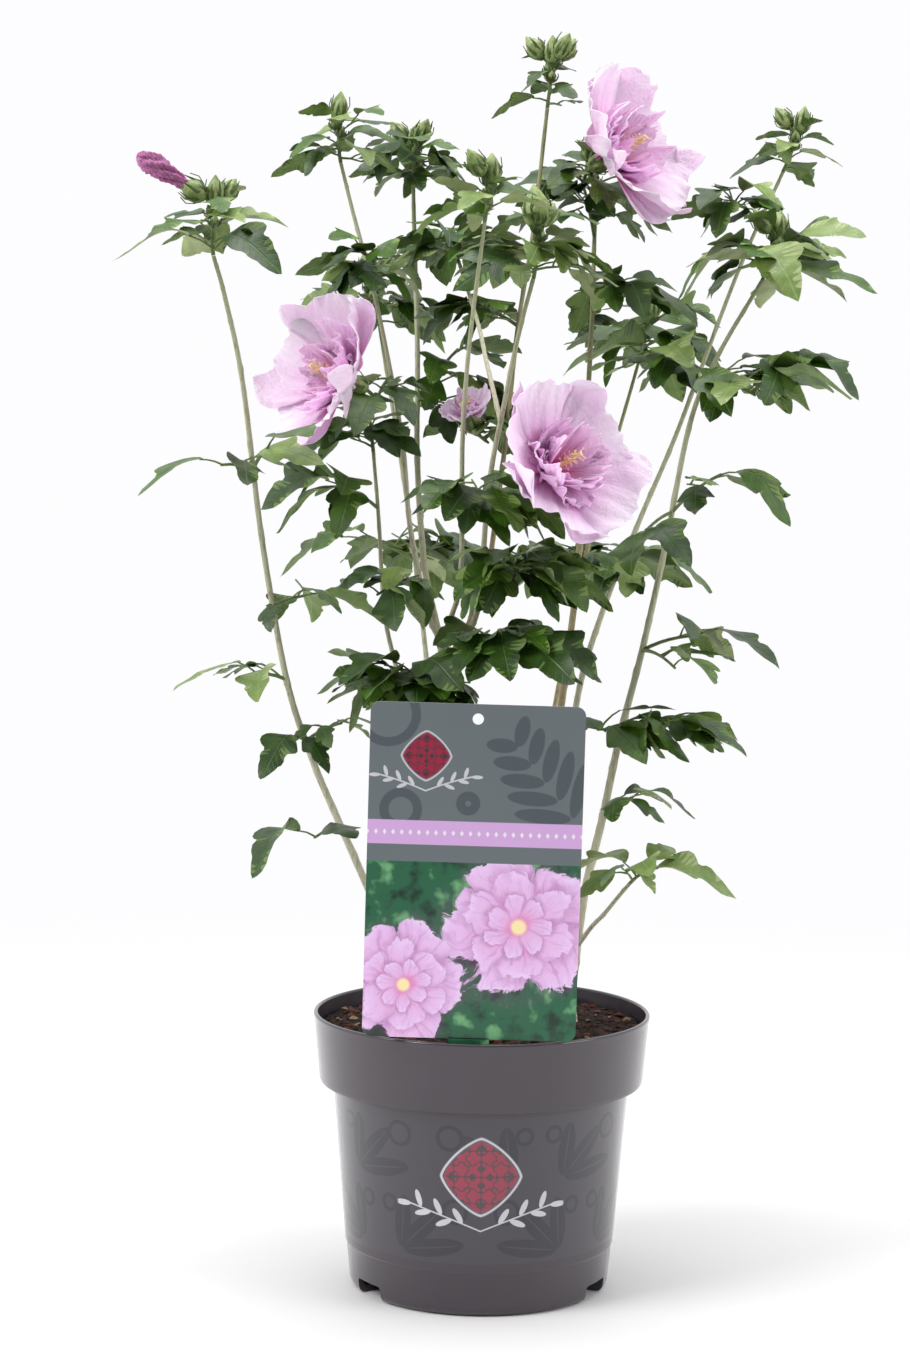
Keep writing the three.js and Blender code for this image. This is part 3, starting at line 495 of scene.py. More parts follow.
@dataclass(frozen=True)
class CardPrint:
    """Glossy printed front of the card: slate head, lilac band and a bed of made-up blossoms."""

    middle: Place
    roll: float
    head: Colour = srgb(100, 108, 112)
    shade: Colour = srgb(68, 76, 82)
    band: Colour = srgb(204, 164, 214)
    leaf: Colour = srgb(30, 92, 62)
    leaf_dark: Colour = srgb(10, 44, 30)
    leaf_light: Colour = srgb(104, 164, 112)
    pale: Colour = srgb(226, 224, 230)
    bed_top: float = 4.8
    band_low: float = 14.0
    band_high: float = 27.0
    lozenge: float = 4.6
    emblem: Emblem = Emblem((-27.0, 62.0), 13.5)
    rings: tuple[Place, ...] = ((-48.0, 84.0, 15.0), (-40.0, 33.0, 9.0), (-4.0, 37.0, 4.0))
    blossoms: tuple[tuple[Spot, float], ...] = (((25.0, -29.0), 41.0), ((-36.0, -62.0), 34.0))

    def material(self) -> Material:
        """Make the material.

        Returns:
            The finished material.
        """
        canvas = Canvas("card_front")
        turn = (0.0, math.radians(-self.roll), 0.0)
        middle = [part * MM for part in self.middle]
        sockets = {"Vector": canvas.place(), "Location": middle, "Rotation": turn}
        local = canvas.node("ShaderNodeMapping", {"vector_type": "TEXTURE"}, sockets)
        x, _, z = canvas.split(local)
        plane = Plane(x / MM, z / MM)
        tone = self.emblem.paint(self.header(plane), plane)
        band = plane.y.between(self.band_low, self.band_high, 0.4)
        tone = canvas.mix(band, tone, self.band)
        tone = canvas.mix(band * self.lozenges(plane), tone, self.pale)
        tone = canvas.mix(1 - plane.y.ease(self.bed_top, self.bed_top + 0.4), tone, self.bed(local, plane))
        canvas.feed("Base Color", tone)
        canvas.plain(Roughness=0.32, Coat_Weight=0.3, Coat_Roughness=0.12)
        return canvas.material

    def header(self, plane: Plane) -> Signal:
        """Colour the head: slate with large darker fern leaves and rings.

        Args:
            plane: the card, in millimetres from its middle.

        Returns:
            The colour.
        """
        covers = []
        for rung in range(5):
            foot, length = (52.0 - 7.5 * rung, 30.0 + 9.5 * rung), 16.0 - 1.8 * rung
            for turn in (78.0, 176.0):
                covers.append(plane.ellipse(polar(foot, length, turn), (length * 0.95, 3.9), turn))
        covers += [plane.ring((x, y), radius, 2.2, 2.7) for x, y, radius in self.rings]
        return plane.x.canvas.mix(reduce(Signal.highest, covers) * 0.8, self.head, self.shade)

    def lozenges(self, plane: Plane) -> Signal:
        """Cover a row of small lozenges along the band."""
        across = abs((plane.x / self.lozenge).fraction() - 0.5) * self.lozenge
        return 1 - (across * 1.5 + abs(plane.y - 20.7)).ease(1.4, 1.8)

    def bed(self, local: Signal, plane: Plane) -> Signal:
        """Paint the picture panel: blurred leaves and two large double blossoms.

        Args:
            local: place on the card, in metres.
            plane: the same in millimetres.

        Returns:
            The colour.
        """
        canvas = local.canvas
        stops = [(0.36, self.leaf_dark), (0.47, self.leaf), (0.55, self.leaf), (0.66, self.leaf_light)]
        tone = canvas.ramp(canvas.noise(local, 52.0, 3.0, 0.6), stops)
        for middle, radius in self.blossoms:
            spot, phase = plane.moved(middle), middle[0] * 0.05
            layers = (Layer(radius, 5, phase, 0.30, 0.0),
                      Layer(radius * 0.72, 6, phase + 0.7, 0.34, 0.25),
                      Layer(radius * 0.44, 7, phase + 1.9, 0.42, 0.45))
            for layer in layers:
                tone = self.petals(tone, spot, layer)
            eye = 1 - (spot.reach() / radius).ease(0.07, 0.13)
            tone = canvas.mix(eye, tone, srgb(246, 226, 170))
        return tone

    def petals(self, under: Signal, spot: Plane, layer: Layer) -> Signal:
        """Paint one layer of petals.

        Args:
            under: the colour below it.
            spot: the card, from the blossom's middle.
            layer: the layer.

        Returns:
            The colour with the petals over it.
        """
        canvas, x, z = under.canvas, spot.x, spot.y
        bend = canvas.noise(canvas.join(x * 0.045, z * 0.045, layer.phase), 1.0, 2.0)
        other = canvas.noise(canvas.join(z * 0.045, x * 0.045, layer.phase + 9), 1.0, 2.0)
        x, z = x + (bend - 0.5) * layer.radius * 0.7, z + (other - 0.5) * layer.radius * 0.7
        reach = Plane(x, z).reach() / layer.radius
        angle = canvas.maths("ARCTAN2", z, x) + layer.phase
        lobe = abs((angle * (layer.petals / 2)).sine())
        crimp = canvas.noise(canvas.join(x * 0.3, z * 0.3, layer.phase), 1.0, 4.0, 0.65) - 0.5
        edge = lobe ** 0.4 * layer.depth + (1 - layer.depth) + crimp * 0.3
        cover = (edge - reach).ease(0, 0.04)
        rays = canvas.noise(canvas.join(angle * 9, reach * 1.2, layer.phase), 1.0, 3.0, 0.6)
        stops = [(0.0, srgb(214, 96, 156)), (0.2, srgb(224, 132, 184)), (0.5, srgb(226, 176, 220)),
                 (0.85, srgb(228, 190, 234)), (1.0, srgb(238, 210, 246))]
        tone = canvas.ramp(reach + (rays - 0.5) * 0.25, stops)
        tone = canvas.mix(rays.ease(0.48, 0.7) * 0.5, tone, srgb(184, 116, 184))
        seam = (1 - lobe.ease(0.0, 0.5)) * reach.ease(0.1, 0.7)
        tone = canvas.mix(seam * 0.4 + crimp.ease(0, 0.3) * 0.3, tone, srgb(170, 108, 174))
        shadow = (edge - reach + 0.22).ease(0, 0.3) * (1 - cover)
        under = canvas.mix(shadow * (0.2 + layer.shade * 0.6), under, srgb(140, 72, 132))
        return canvas.mix(cover, under, tone)


@dataclass(frozen=True)
class CardBack:
    """Plain pale back and edges of the card."""

    tone: Colour = srgb(228, 228, 226)

    def material(self) -> Material:
        """Make the material.

        Returns:
            The finished material.
        """
        canvas = Canvas("card_back")
        cloud = canvas.noise(canvas.place(), 60.0, 3.0)
        canvas.feed("Base Color", canvas.mix(cloud * 0.3, self.tone, srgb(208, 210, 208)))
        canvas.plain(Roughness=0.45)
        return canvas.material


@dataclass(frozen=True)
class Bark:
    """Smooth young bark: pale ridges over a darker ground, greener towards the tip."""

    name: str
    foot: Colour
    middle: Colour
    tip: Colour
    groove: Colour

    def material(self) -> Material:
        """Make the material.

        Returns:
            The finished material.
        """
        canvas = Canvas(self.name)
        around, along, _ = canvas.split(canvas.chart())
        stops = [(0.0, self.foot), (0.45, self.middle), (1.0, self.tip)]
        tone = canvas.ramp(along, stops)
        place = canvas.place()
        x, y, z = canvas.split(place)
        drawn = canvas.join(x * 14, y * 14, z)
        streak = canvas.noise(drawn, 60.0, 4.0, 0.65)
        tone = canvas.mix(streak.ease(0.5, 0.72) * 0.65, tone, self.groove)
        fleck = canvas.cells(place, 420.0)
        tone = canvas.mix((1 - fleck.ease(0.12, 0.2)) * 0.5, tone, srgb(206, 200, 178))
        canvas.feed("Base Color", tone)
        canvas.feed("Roughness", 0.5 + streak * 0.25)
        canvas.relief(streak, 0.0004)
        return canvas.material


@dataclass(frozen=True)
class Greenwood:
    """Green skin of twigs, leaf stalks, buds and calyces."""

    name: str
    tone: Colour
    other: Colour

    def material(self) -> Material:
        """Make the material.

        Returns:
            The finished material.
        """
        canvas = Canvas(self.name)
        place = canvas.place()
        cloud = canvas.noise(place, 240.0, 3.0)
        canvas.feed("Base Color", canvas.mix(cloud.ease(0.35, 0.68), self.tone, self.other))
        canvas.plain(Roughness=0.5, Subsurface_Weight=0.06, Subsurface_Scale=0.002)
        canvas.relief(canvas.noise(place, 1400.0, 2.0), 0.0001, 0.6)
        return canvas.material


@dataclass(frozen=True)
class LeafSkin:
    """One face of a leaf, with its net of veins."""

    name: str
    tone: Colour
    shade: Colour
    vein: Colour
    rough: float
    vein_cover: float

    def material(self) -> Material:
        """Make the material.

        Returns:
            The finished material.
        """
        canvas = Canvas(self.name)
        u, v, _ = canvas.split(canvas.chart())
        off = abs(v - 0.5)
        rib = 1 - off.ease(0.003, 0.016)
        lines = ((u - off * 0.85) * 9.5).fraction()
        side = (1 - abs(lines - 0.5).ease(0.02, 0.09)) * (1 - off.ease(0.12, 0.3)) * 0.34
        net = rib.highest(side)
        cloud = canvas.noise(canvas.place(), 120.0, 3.0)
        tone = canvas.mix(cloud.ease(0.35, 0.68), self.tone, self.shade)
        canvas.feed("Base Color", canvas.mix(net * self.vein_cover, tone, self.vein))
        canvas.feed("Roughness", self.rough + cloud * 0.14)
        canvas.relief(1 - net, 0.0003, 0.6)
        canvas.plain(Specular_IOR_Level=0.52)
        return canvas.material


@dataclass(frozen=True)
class PetalSkin:
    """Thin lilac petal with a deeper eye and fine rays."""

    name: str
    eye: Colour
    ring: Colour
    field: Colour
    edge: Colour
    ray: Colour

    def material(self) -> Material:
        """Make the material.

        Returns:
            The finished material.
        """
        canvas = Canvas(self.name)
        u, v, _ = canvas.split(canvas.chart())
        stops = [(0.0, self.eye), (0.13, self.eye), (0.27, self.ring), (0.5, self.field), (1.0, self.edge)]
        warped = u + (canvas.noise(canvas.join(v * 9, u * 0.7), 1.0, 2.0) - 0.5) * 0.16
        tone = canvas.ramp(warped, stops)
        rays = canvas.noise(canvas.join(v * 34, u * 2.2), 1.0, 3.0, 0.6)
        fade = 1 - u.ease(0.12, 0.95)
        tone = canvas.mix(rays.ease(0.48, 0.72) * (fade * 0.5 + 0.12), tone, self.ray)
        canvas.feed("Base Color", tone)
        canvas.plain(Roughness=0.62, Sheen_Weight=0.15, Sheen_Roughness=0.5,
                     Subsurface_Weight=0.4, Subsurface_Scale=0.006, Subsurface_Radius=(1.0, 0.4, 0.75))
        crepe = canvas.noise(canvas.place(), 300.0, 4.0, 0.6)
        canvas.relief(rays * 0.6 + crepe, 0.0016, 0.7)
        return canvas.material


class Tint(Enum):
    """The greens that the leaves are dealt."""

    DEEP = 0
    MIDDLE = 1
    FRESH = 2


LEAF_SKINS = (
    LeafSkin("leaf_deep_upper", srgb(42, 74, 8), srgb(26, 54, 4), srgb(92, 124, 48), 0.36, 0.24),
    LeafSkin("leaf_deep_under", srgb(98, 124, 56), srgb(80, 108, 42), srgb(144, 164, 98), 0.52, 0.34),
    LeafSkin("leaf_middle_upper", srgb(64, 98, 16), srgb(44, 78, 8), srgb(116, 146, 60), 0.36, 0.24),
    LeafSkin("leaf_middle_under", srgb(116, 142, 70), srgb(96, 124, 54), srgb(158, 176, 112), 0.52, 0.34),
    LeafSkin("leaf_fresh_upper", srgb(118, 140, 70), srgb(94, 120, 50), srgb(160, 176, 116), 0.38, 0.26),
    LeafSkin("leaf_fresh_under", srgb(156, 170, 116), srgb(136, 152, 96), srgb(186, 198, 154), 0.52, 0.3),
)
YOUNG_BARK = Bark("bark_grey", srgb(190, 182, 158), srgb(194, 192, 166), srgb(150, 158, 118),
                  srgb(104, 96, 76))
BROWN_BARK = Bark("bark_brown", srgb(168, 148, 118), srgb(172, 158, 124), srgb(144, 148, 104),
                  srgb(92, 68, 50))
TWIG_SKIN = Greenwood("twig_green", srgb(104, 124, 66), srgb(80, 100, 48))
BUD_SKIN = Greenwood("bud_green", srgb(146, 162, 100), srgb(104, 126, 66))
BRACT_SKIN = Greenwood("bract_green", srgb(84, 104, 52), srgb(60, 82, 36))
POLLEN = Greenwood("pollen_cream", srgb(242, 226, 178), srgb(234, 206, 140))
OPEN_PETAL = PetalSkin("petal_lilac", srgb(208, 60, 136), srgb(244, 146, 206), srgb(251, 202, 244),
                       srgb(253, 228, 254), srgb(226, 142, 212))
FADED_PETAL = PetalSkin("petal_faded", srgb(140, 74, 120), srgb(176, 104, 154), srgb(178, 108, 158),
                        srgb(140, 72, 120), srgb(92, 38, 76))


# Modelling steps that several pieces share


class Bench:
    """Steps done by hand on one piece at a time."""

    @staticmethod
    def take(piece: Piece) -> None:
        """Select one piece alone and make it active.

        Args:
            piece: the piece.
        """
        bpy.ops.object.select_all(action="DESELECT")
        piece.select_set(True)
        bpy.context.view_layer.objects.active = piece

    @staticmethod
    def link(name: str, data: bpy.types.ID) -> Piece:
        """Add an object that holds a mesh, a light or a camera.

        Args:
            name: its name.
            data: what it holds.

        Returns:
            The object.
        """
        added = bpy.data.objects.new(name, data)
        bpy.context.scene.collection.objects.link(added)
        return added

    @staticmethod
    def start(add: Callable, name: str, **settings: object) -> Piece:
        """Add one of Blender's plain shapes, alone selected.

        Args:
            add: the step that adds it.
            name: its name.
            settings: what the step takes.

        Returns:
            The new piece.
        """
        bpy.ops.object.select_all(action="DESELECT")
        add(**settings)
        piece = bpy.context.active_object
        piece.name = piece.data.name = name
        return piece

    @staticmethod
    @contextmanager
    def editing(piece: Piece) -> Iterator[bmesh.types.BMesh]:
        """Open a piece in edit mode with nothing selected.

        Args:
            piece: the piece.

        Returns:
            Its edit mesh, inside the with block.
        """
        Bench.take(piece)
        bpy.ops.object.mode_set(mode="EDIT")
        bpy.ops.mesh.select_all(action="DESELECT")
        yield bmesh.from_edit_mesh(piece.data)
        bpy.ops.object.mode_set(mode="OBJECT")

    @staticmethod
    def settle(piece: Piece) -> None:
        """Put a piece's place into its mesh."""
        Bench.take(piece)
        bpy.ops.object.transform_apply(location=True, rotation=True, scale=True)

    @staticmethod
    def cut(piece: Piece, cutter: Piece) -> None:
        """Cut one piece with another, which is then removed.

        Args:
            piece: what is cut.
            cutter: what cuts it.
        """
        Bench.take(piece)
        change = piece.modifiers.new("cut", "BOOLEAN")
        change.operation = "DIFFERENCE"
        change.object = cutter
        bpy.ops.object.modifier_apply(modifier=change.name)
        bpy.data.objects.remove(cutter)

    @staticmethod
    def smooth(piece: Piece, angle: float) -> None:
        """Shade a piece smooth except at edges sharper than an angle in degrees."""
        Bench.take(piece)
        bpy.ops.object.shade_smooth_by_angle(angle=math.radians(angle))

    @staticmethod
    def finish(piece: Piece, slot: str, replaced: Sequence[str] = ()) -> None:
        """Fix a finished piece to the plant and report it.

        Args:
            piece: the piece.
            slot: the record's material slot; not used.
            replaced: the solids that it stands for.
        """
        if replaced:
            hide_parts(*replaced)
        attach(piece, BODY)
        LOG.info("%s: %d faces", piece.name, len(piece.data.polygons))


def tube_faces(count: int, sides: int) -> Faces:
    """List the faces of a tube of so many spans and sides, with both ends closed.

    Args:
        count: how many spans.
        sides: how many sides.

    Returns:
        The faces, as corner numbers.
    """
    faces = []
    for i in range(count):
        for j in range(sides):
            a, b = i * sides + j, i * sides + (j + 1) % sides
            faces.append((a, b, b + sides, a + sides))
    faces.append(tuple(reversed(range(sides))))
    faces.append(tuple(count * sides + j for j in range(sides)))
    return faces


class Stock:
    """Points and faces gathered for one joined piece."""

    def __init__(self) -> None:
        """Start empty."""
        self.points: list[Array] = []
        self.charts: list[Array] = []
        self.faces: Faces = []
        self.skins: list[int] = []
        self.count = 0

    def add(self, points: Array, faces: Faces, chart: Array, skins: int | Sequence[int] = 0) -> None:
        """Add one shape.

        Args:
            points: its points, in millimetres.
            faces: its faces as indices of those points, turned outwards.
            chart: surface coordinates of each point.
            skins: the material number of all its faces, or of each.
        """
        self.points.append(points)
        self.charts.append(chart)
        self.faces.extend(tuple(i + self.count for i in face) for face in faces)
        self.skins.extend([skins] * len(faces) if isinstance(skins, int) else skins)
        self.count += len(points)

    def tube(self, curve: "Curve", count: int, sides: int, radius_at: Callable, skin: int = 0) -> None:
        """Add a closed tube round a curve, without twist.

        Args:
            curve: its axis.
            count: how many spans it has.
            sides: points in each ring.
            radius_at: gives the radius from t, the angle round the axis and the axis's place.
            skin: its material number.
        """
        points, chart = [], []
        across = None
        for i in range(count + 1):
            t = i / count
            centre, along = curve.point(t), curve.tangent(t)
            if across is None:
                across = np.array((1.0, 0, 0)) if abs(along[2]) > 0.75 else UP
            across = unit(across - along * float(np.dot(across, along)))
            third = np.cross(along, across)
            for j in range(sides):
                angle = 2 * math.pi * j / sides
                out = across * math.cos(angle) + third * math.sin(angle)
                points.append(centre + out * radius_at(t, angle, centre))
                chart.append((j / sides, t))
        self.add(np.array(points), tube_faces(count, sides), np.array(chart), skin)

    def piece(self, name: str, materials: Sequence[Material], angle: float = 50.0) -> Piece:
        """Make one object of all that was added.

        Args:
            name: its name.
            materials: its materials, by number.
            angle: edges sharper than this stay sharp.

        Returns:
            The object, at the origin.
        """
        mesh = bpy.data.meshes.new(name)
        mesh.from_pydata((np.vstack(self.points) * MM).tolist(), [], self.faces)
        for material in materials:
            mesh.materials.append(material)
        mesh.polygons.foreach_set("material_index", self.skins)
        corners = np.zeros(len(mesh.loops), np.int32)
        mesh.loops.foreach_get("vertex_index", corners)
        layer = mesh.uv_layers.new(name="chart")
        layer.data.foreach_set("uv", np.vstack(self.charts)[corners].astype(np.float32).ravel())
        mesh.validate()
        piece = Bench.link(name, mesh)
        Bench.smooth(piece, angle)
        return piece

# Curves and the seeded rule by which the shrub grows, as in the part's source


def unit(vector: Array) -> Array:
    """Scale a vector to length 1."""
    return vector / np.linalg.norm(vector)


def heading(azimuth: float, elevation: float) -> Array:
    """Give the direction of an azimuth and an elevation, both in radians."""
    level = math.cos(elevation)
    return np.array((level * math.cos(azimuth), level * math.sin(azimuth), math.sin(elevation)))


class Draw:
    """A seeded run of numbers from 0 to 1."""

    def __init__(self, seed: int) -> None:
        """Start the run."""
        self.state = seed * 7919 + 17

    def __call__(self) -> float:
        """Give the next number."""
        self.state = self.state * 48271 % 2147483647
        return self.state / 2147483647

    def between(self, low: float, high: float) -> float:
        """Give the next number between two limits."""
        return low + (high - low) * self()


class Curve:
    """A curve with a place for each t from 0 to 1."""

    def point(self, t: float) -> Array:
        """Give the place at t."""
        raise NotImplementedError

    def tangent(self, t: float) -> Array:
        """Give the direction at t."""
        step = 0.0001
        return unit(self.point(min(1.0, t + step)) - self.point(max(0.0, t - step)))

    def length(self) -> float:
        """Measure the curve by 200 chords."""
        places = np.array([self.point(i / 200) for i in range(201)])
        return float(np.linalg.norm(np.diff(places, axis=0), axis=1).sum())

    def beads(self, step: float) -> Array:
        """Give places along the curve, at most a step apart."""
        count = math.ceil(self.length() / step)
        return np.array([self.point(i / count) for i in range(count + 1)])


class Route(Curve):
    """A smooth curve through given points."""

    def __init__(self, route: Sequence[Place]) -> None:
        """Keep the points."""
        self.knots = np.array(route, float)

    def point(self, t: float) -> Array:
        """Give the place at t.

        Args:
            t: 0 at the start, 1 at the end.

        Returns:
            The place.
        """
        knots, last = self.knots, len(self.knots) - 1
        span = min(int(last * t), last - 1)
        w = last * t - span
        before = knots[span - 1] if span > 0 else 2 * knots[0] - knots[1]
        after = knots[span + 2] if span + 2 <= last else 2 * knots[last] - knots[last - 1]
        start, end = knots[span], knots[span + 1]
        out, into = (end - before) / 2, (after - start) / 2
        cubic = 2 * start - 2 * end + out + into
        square = 3 * end - 3 * start - 2 * out - into
        return start + out * w + square * w * w + cubic * w * w * w


class Bend(Curve):
    """A curve from one point to another, drawn towards a third."""

    def __init__(self, start: Array, pull: Array, end: Array) -> None:
        """Keep the three points."""
        self.start, self.pull, self.end = start, pull, end

    def point(self, t: float) -> Array:
        """Give the place at t."""
        return (1 - t) ** 2 * self.start + 2 * (1 - t) * t * self.pull + t * t * self.end


class State(Enum):
    """How far a bloom is."""

    OPEN = "open"
    FADED = "faded"


@dataclass
class Limb:
    """A stem or bough: its radii, its route and the limb that it forks from."""

    name: str
    base: float
    tip: float
    route: tuple[Place, ...]
    parent: str | None = None
    flare = 0.55
    flare_height = 7.0

    def __post_init__(self) -> None:
        """Lay the limb along its route."""
        self.curve = Route(self.route)

    def radius(self, t: float, height: float) -> float:
        """Give the radius at t, with the root flare of a stem from the soil.

        Args:
            t: 0 at the base, 1 at the tip.
            height: height of the place.

        Returns:
            The radius.
        """
        taper = self.base + (self.tip - self.base) * t
        if self.parent:
            return taper
        return taper * (1 + self.flare * math.exp(-(height - GROUND) / self.flare_height))

    def at_height(self, height: float) -> Array:
        """Find where the limb passes a height, by halving.

        Args:
            height: the height.

        Returns:
            The place on its axis.
        """
        low, high = 0.0, 1.0
        for _ in range(30):
            t = (low + high) / 2
            if self.curve.point(t)[2] < height:
                low = t
            else:
                high = t
        return self.curve.point((low + high) / 2)


@dataclass
class Flower:
    """A bloom: the middle of its throat, the way that it faces and how wide it is."""

    state: State
    middle: Place
    face: Place
    span: float
    rise = 0.46

    def __post_init__(self) -> None:
        """Turn the bloom's frame to face its way, with one direction level."""
        self.throat = np.array(self.middle, float)
        self.forward = unit(np.array(self.face, float))
        self.right = unit(np.cross(UP, self.forward))
        self.above = np.cross(self.forward, self.right)

    def ahead(self, distance: float) -> Array:
        """Give a place on the bloom's axis."""
        return self.throat + self.forward * distance

    def spot(self, angle: float, out: float, aside: float, lift: float) -> Array:
        """Give a place by its angle round the throat, its distance, its side and its lift.

        Args:
            angle: angle round the throat, in radians.
            out: distance from the axis.
            aside: distance across that direction.
            lift: distance forwards.

        Returns:
            The place.
        """
        outward = self.right * math.cos(angle) + self.above * math.sin(angle)
        across = np.cross(self.forward, outward)
        return self.throat + outward * out + across * aside + self.forward * lift

    def beads(self) -> Array:
        """Mark the space that the bloom takes.

        Returns:
            The marked places.
        """
        if self.state is State.FADED:
            return np.array([self.ahead(ring / 4 * self.span * 0.7) for ring in range(5)])
        points = [self.throat]
        for ring in range(1, 5):
            out, turns = ring / 4 * self.span * 0.5, 4 * ring
            points.extend(self.spot(2 * math.pi * k / turns, out, 0, self.rise * out) for k in range(turns))
        return np.array(points)


@dataclass(frozen=True)
class MassPlan:
    """A mass of foliage: its limb, the ends of its stem, its leaves, buds and bloom."""

    name: str
    limb: str
    ends: tuple[Place, ...]
    leaves: int
    size: float
    seed: int
    at: float | None = None
    turn: float = 0.0
    buds: int = 0
    bloom: Flower | None = None


SOIL_TOP = 151.0
CLEARANCE = 0.3
GROUND = SOIL_TOP + CLEARANCE
LIMBS = (
    Limb("stem_left", base=2.5, tip=1.1, route=(
        (-40, -10, GROUND), (-43, -10, 165), (-56, -10, 205), (-80, -10, 260), (-97, -14, 300),
        (-112, -20, 348), (-125, -32, 425), (-135, -46, 510), (-144, -55, 554), (-150, -58, 576))),
    Limb("stem_centre", base=2.8, tip=1.1, route=(
        (-6, 6, GROUND), (-8, 6, 170), (-14, 5, 240), (-21, 5, 334), (-28, 14, 372), (-36, 28, 409),
        (-41, 58, 470), (-42, 80, 534), (-45, 105, 605), (-46, 113, 630))),
    Limb("bough_left_back", base=1.8, tip=1, parent="stem_centre", route=(
        (-27, 13, 367), (-35, 14, 385), (-40, 19, 409), (-45, 26, 435), (-50, 35, 483), (-65, 45, 556),
        (-80, 56, 611), (-87, 60, 638))),
    Limb("bough_right_front", base=2, tip=1.1, parent="stem_centre", route=(
        (-21, 5, 336), (-15, 1, 354), (-9, -4, 373), (-4, -12, 394), (0, -28, 455), (8, -40, 502),
        (15, -50, 538), (22, -57, 566))),
    Limb("bough_front", base=1.8, tip=1, parent="stem_centre", route=(
        (-22.5, 6, 345), (-23, -1, 362), (-20, -10, 380), (-15, -26, 405), (-15, -60, 479),
        (-12, -82, 530), (-5, -108, 592))),
    Limb("bough_inner", base=1.4, tip=1, parent="bough_right_front", route=(
        (6, -37, 488), (2, -24, 505), (-2, -8, 522), (-6, 8, 541), (-12, 25, 561), (-18, 41, 580))),
    Limb("stem_brown", base=2.7, tip=1.2, route=(
        (24, 16, GROUND), (26, 17, 170), (35, 22, 240), (44, 29, 331), (52, 42, 398), (56, 60, 467),
        (60, 82, 543), (62, 100, 615))),
    Limb("stem_right_back", base=2.3, tip=1, route=(
        (38, 30, GROUND), (39, 29, 170), (44, 24, 240), (52, 22, 329), (67, 33, 383), (86, 45, 430),
        (110, 62, 486), (146, 90, 580), (173, 106, 640))),
    Limb("stem_right", base=2.8, tip=1.1, route=(
        (50, -4, GROUND), (51, -4, 170), (57, -3, 222), (67, 0, 268), (77, 2, 317), (89, 6, 366),
        (101, 10, 424), (114, 15, 492), (129, 18, 529), (153, 20, 571))),
    Limb("bough_top", base=1.8, tip=1.1, parent="stem_centre", route=(
        (-24, 9, 352), (-16, 13, 364), (-7, 18, 382), (0, 24, 402), (6, 32, 446), (11, 39, 491),
        (16, 42, 545), (24, 41, 598), (31, 41, 668))),
    Limb("stem_thin", base=1.8, tip=1, route=(
        (-26, 20, GROUND), (-28, 20, 170), (-37, 22, 250), (-48, 24, 333), (-58, 26, 378),
        (-62, 31, 430), (-66, 39, 472))),
    Limb("shoot_low", base=1.4, tip=1, parent="stem_right", route=(
        (53, -3, 193), (61, -14, 207), (67, -30, 217), (74, -44, 229), (80, -52, 238))),
    Limb("stem_back_left", base=2.3, tip=1, route=(
        (-14, 34, GROUND), (-15, 36, 170), (-26, 58, 280), (-44, 98, 420), (-66, 140, 548))),
    Limb("stem_back_right", base=2.3, tip=1, route=(
        (18, 40, GROUND), (19, 42, 170), (34, 66, 280), (62, 108, 420), (92, 148, 528))),
)

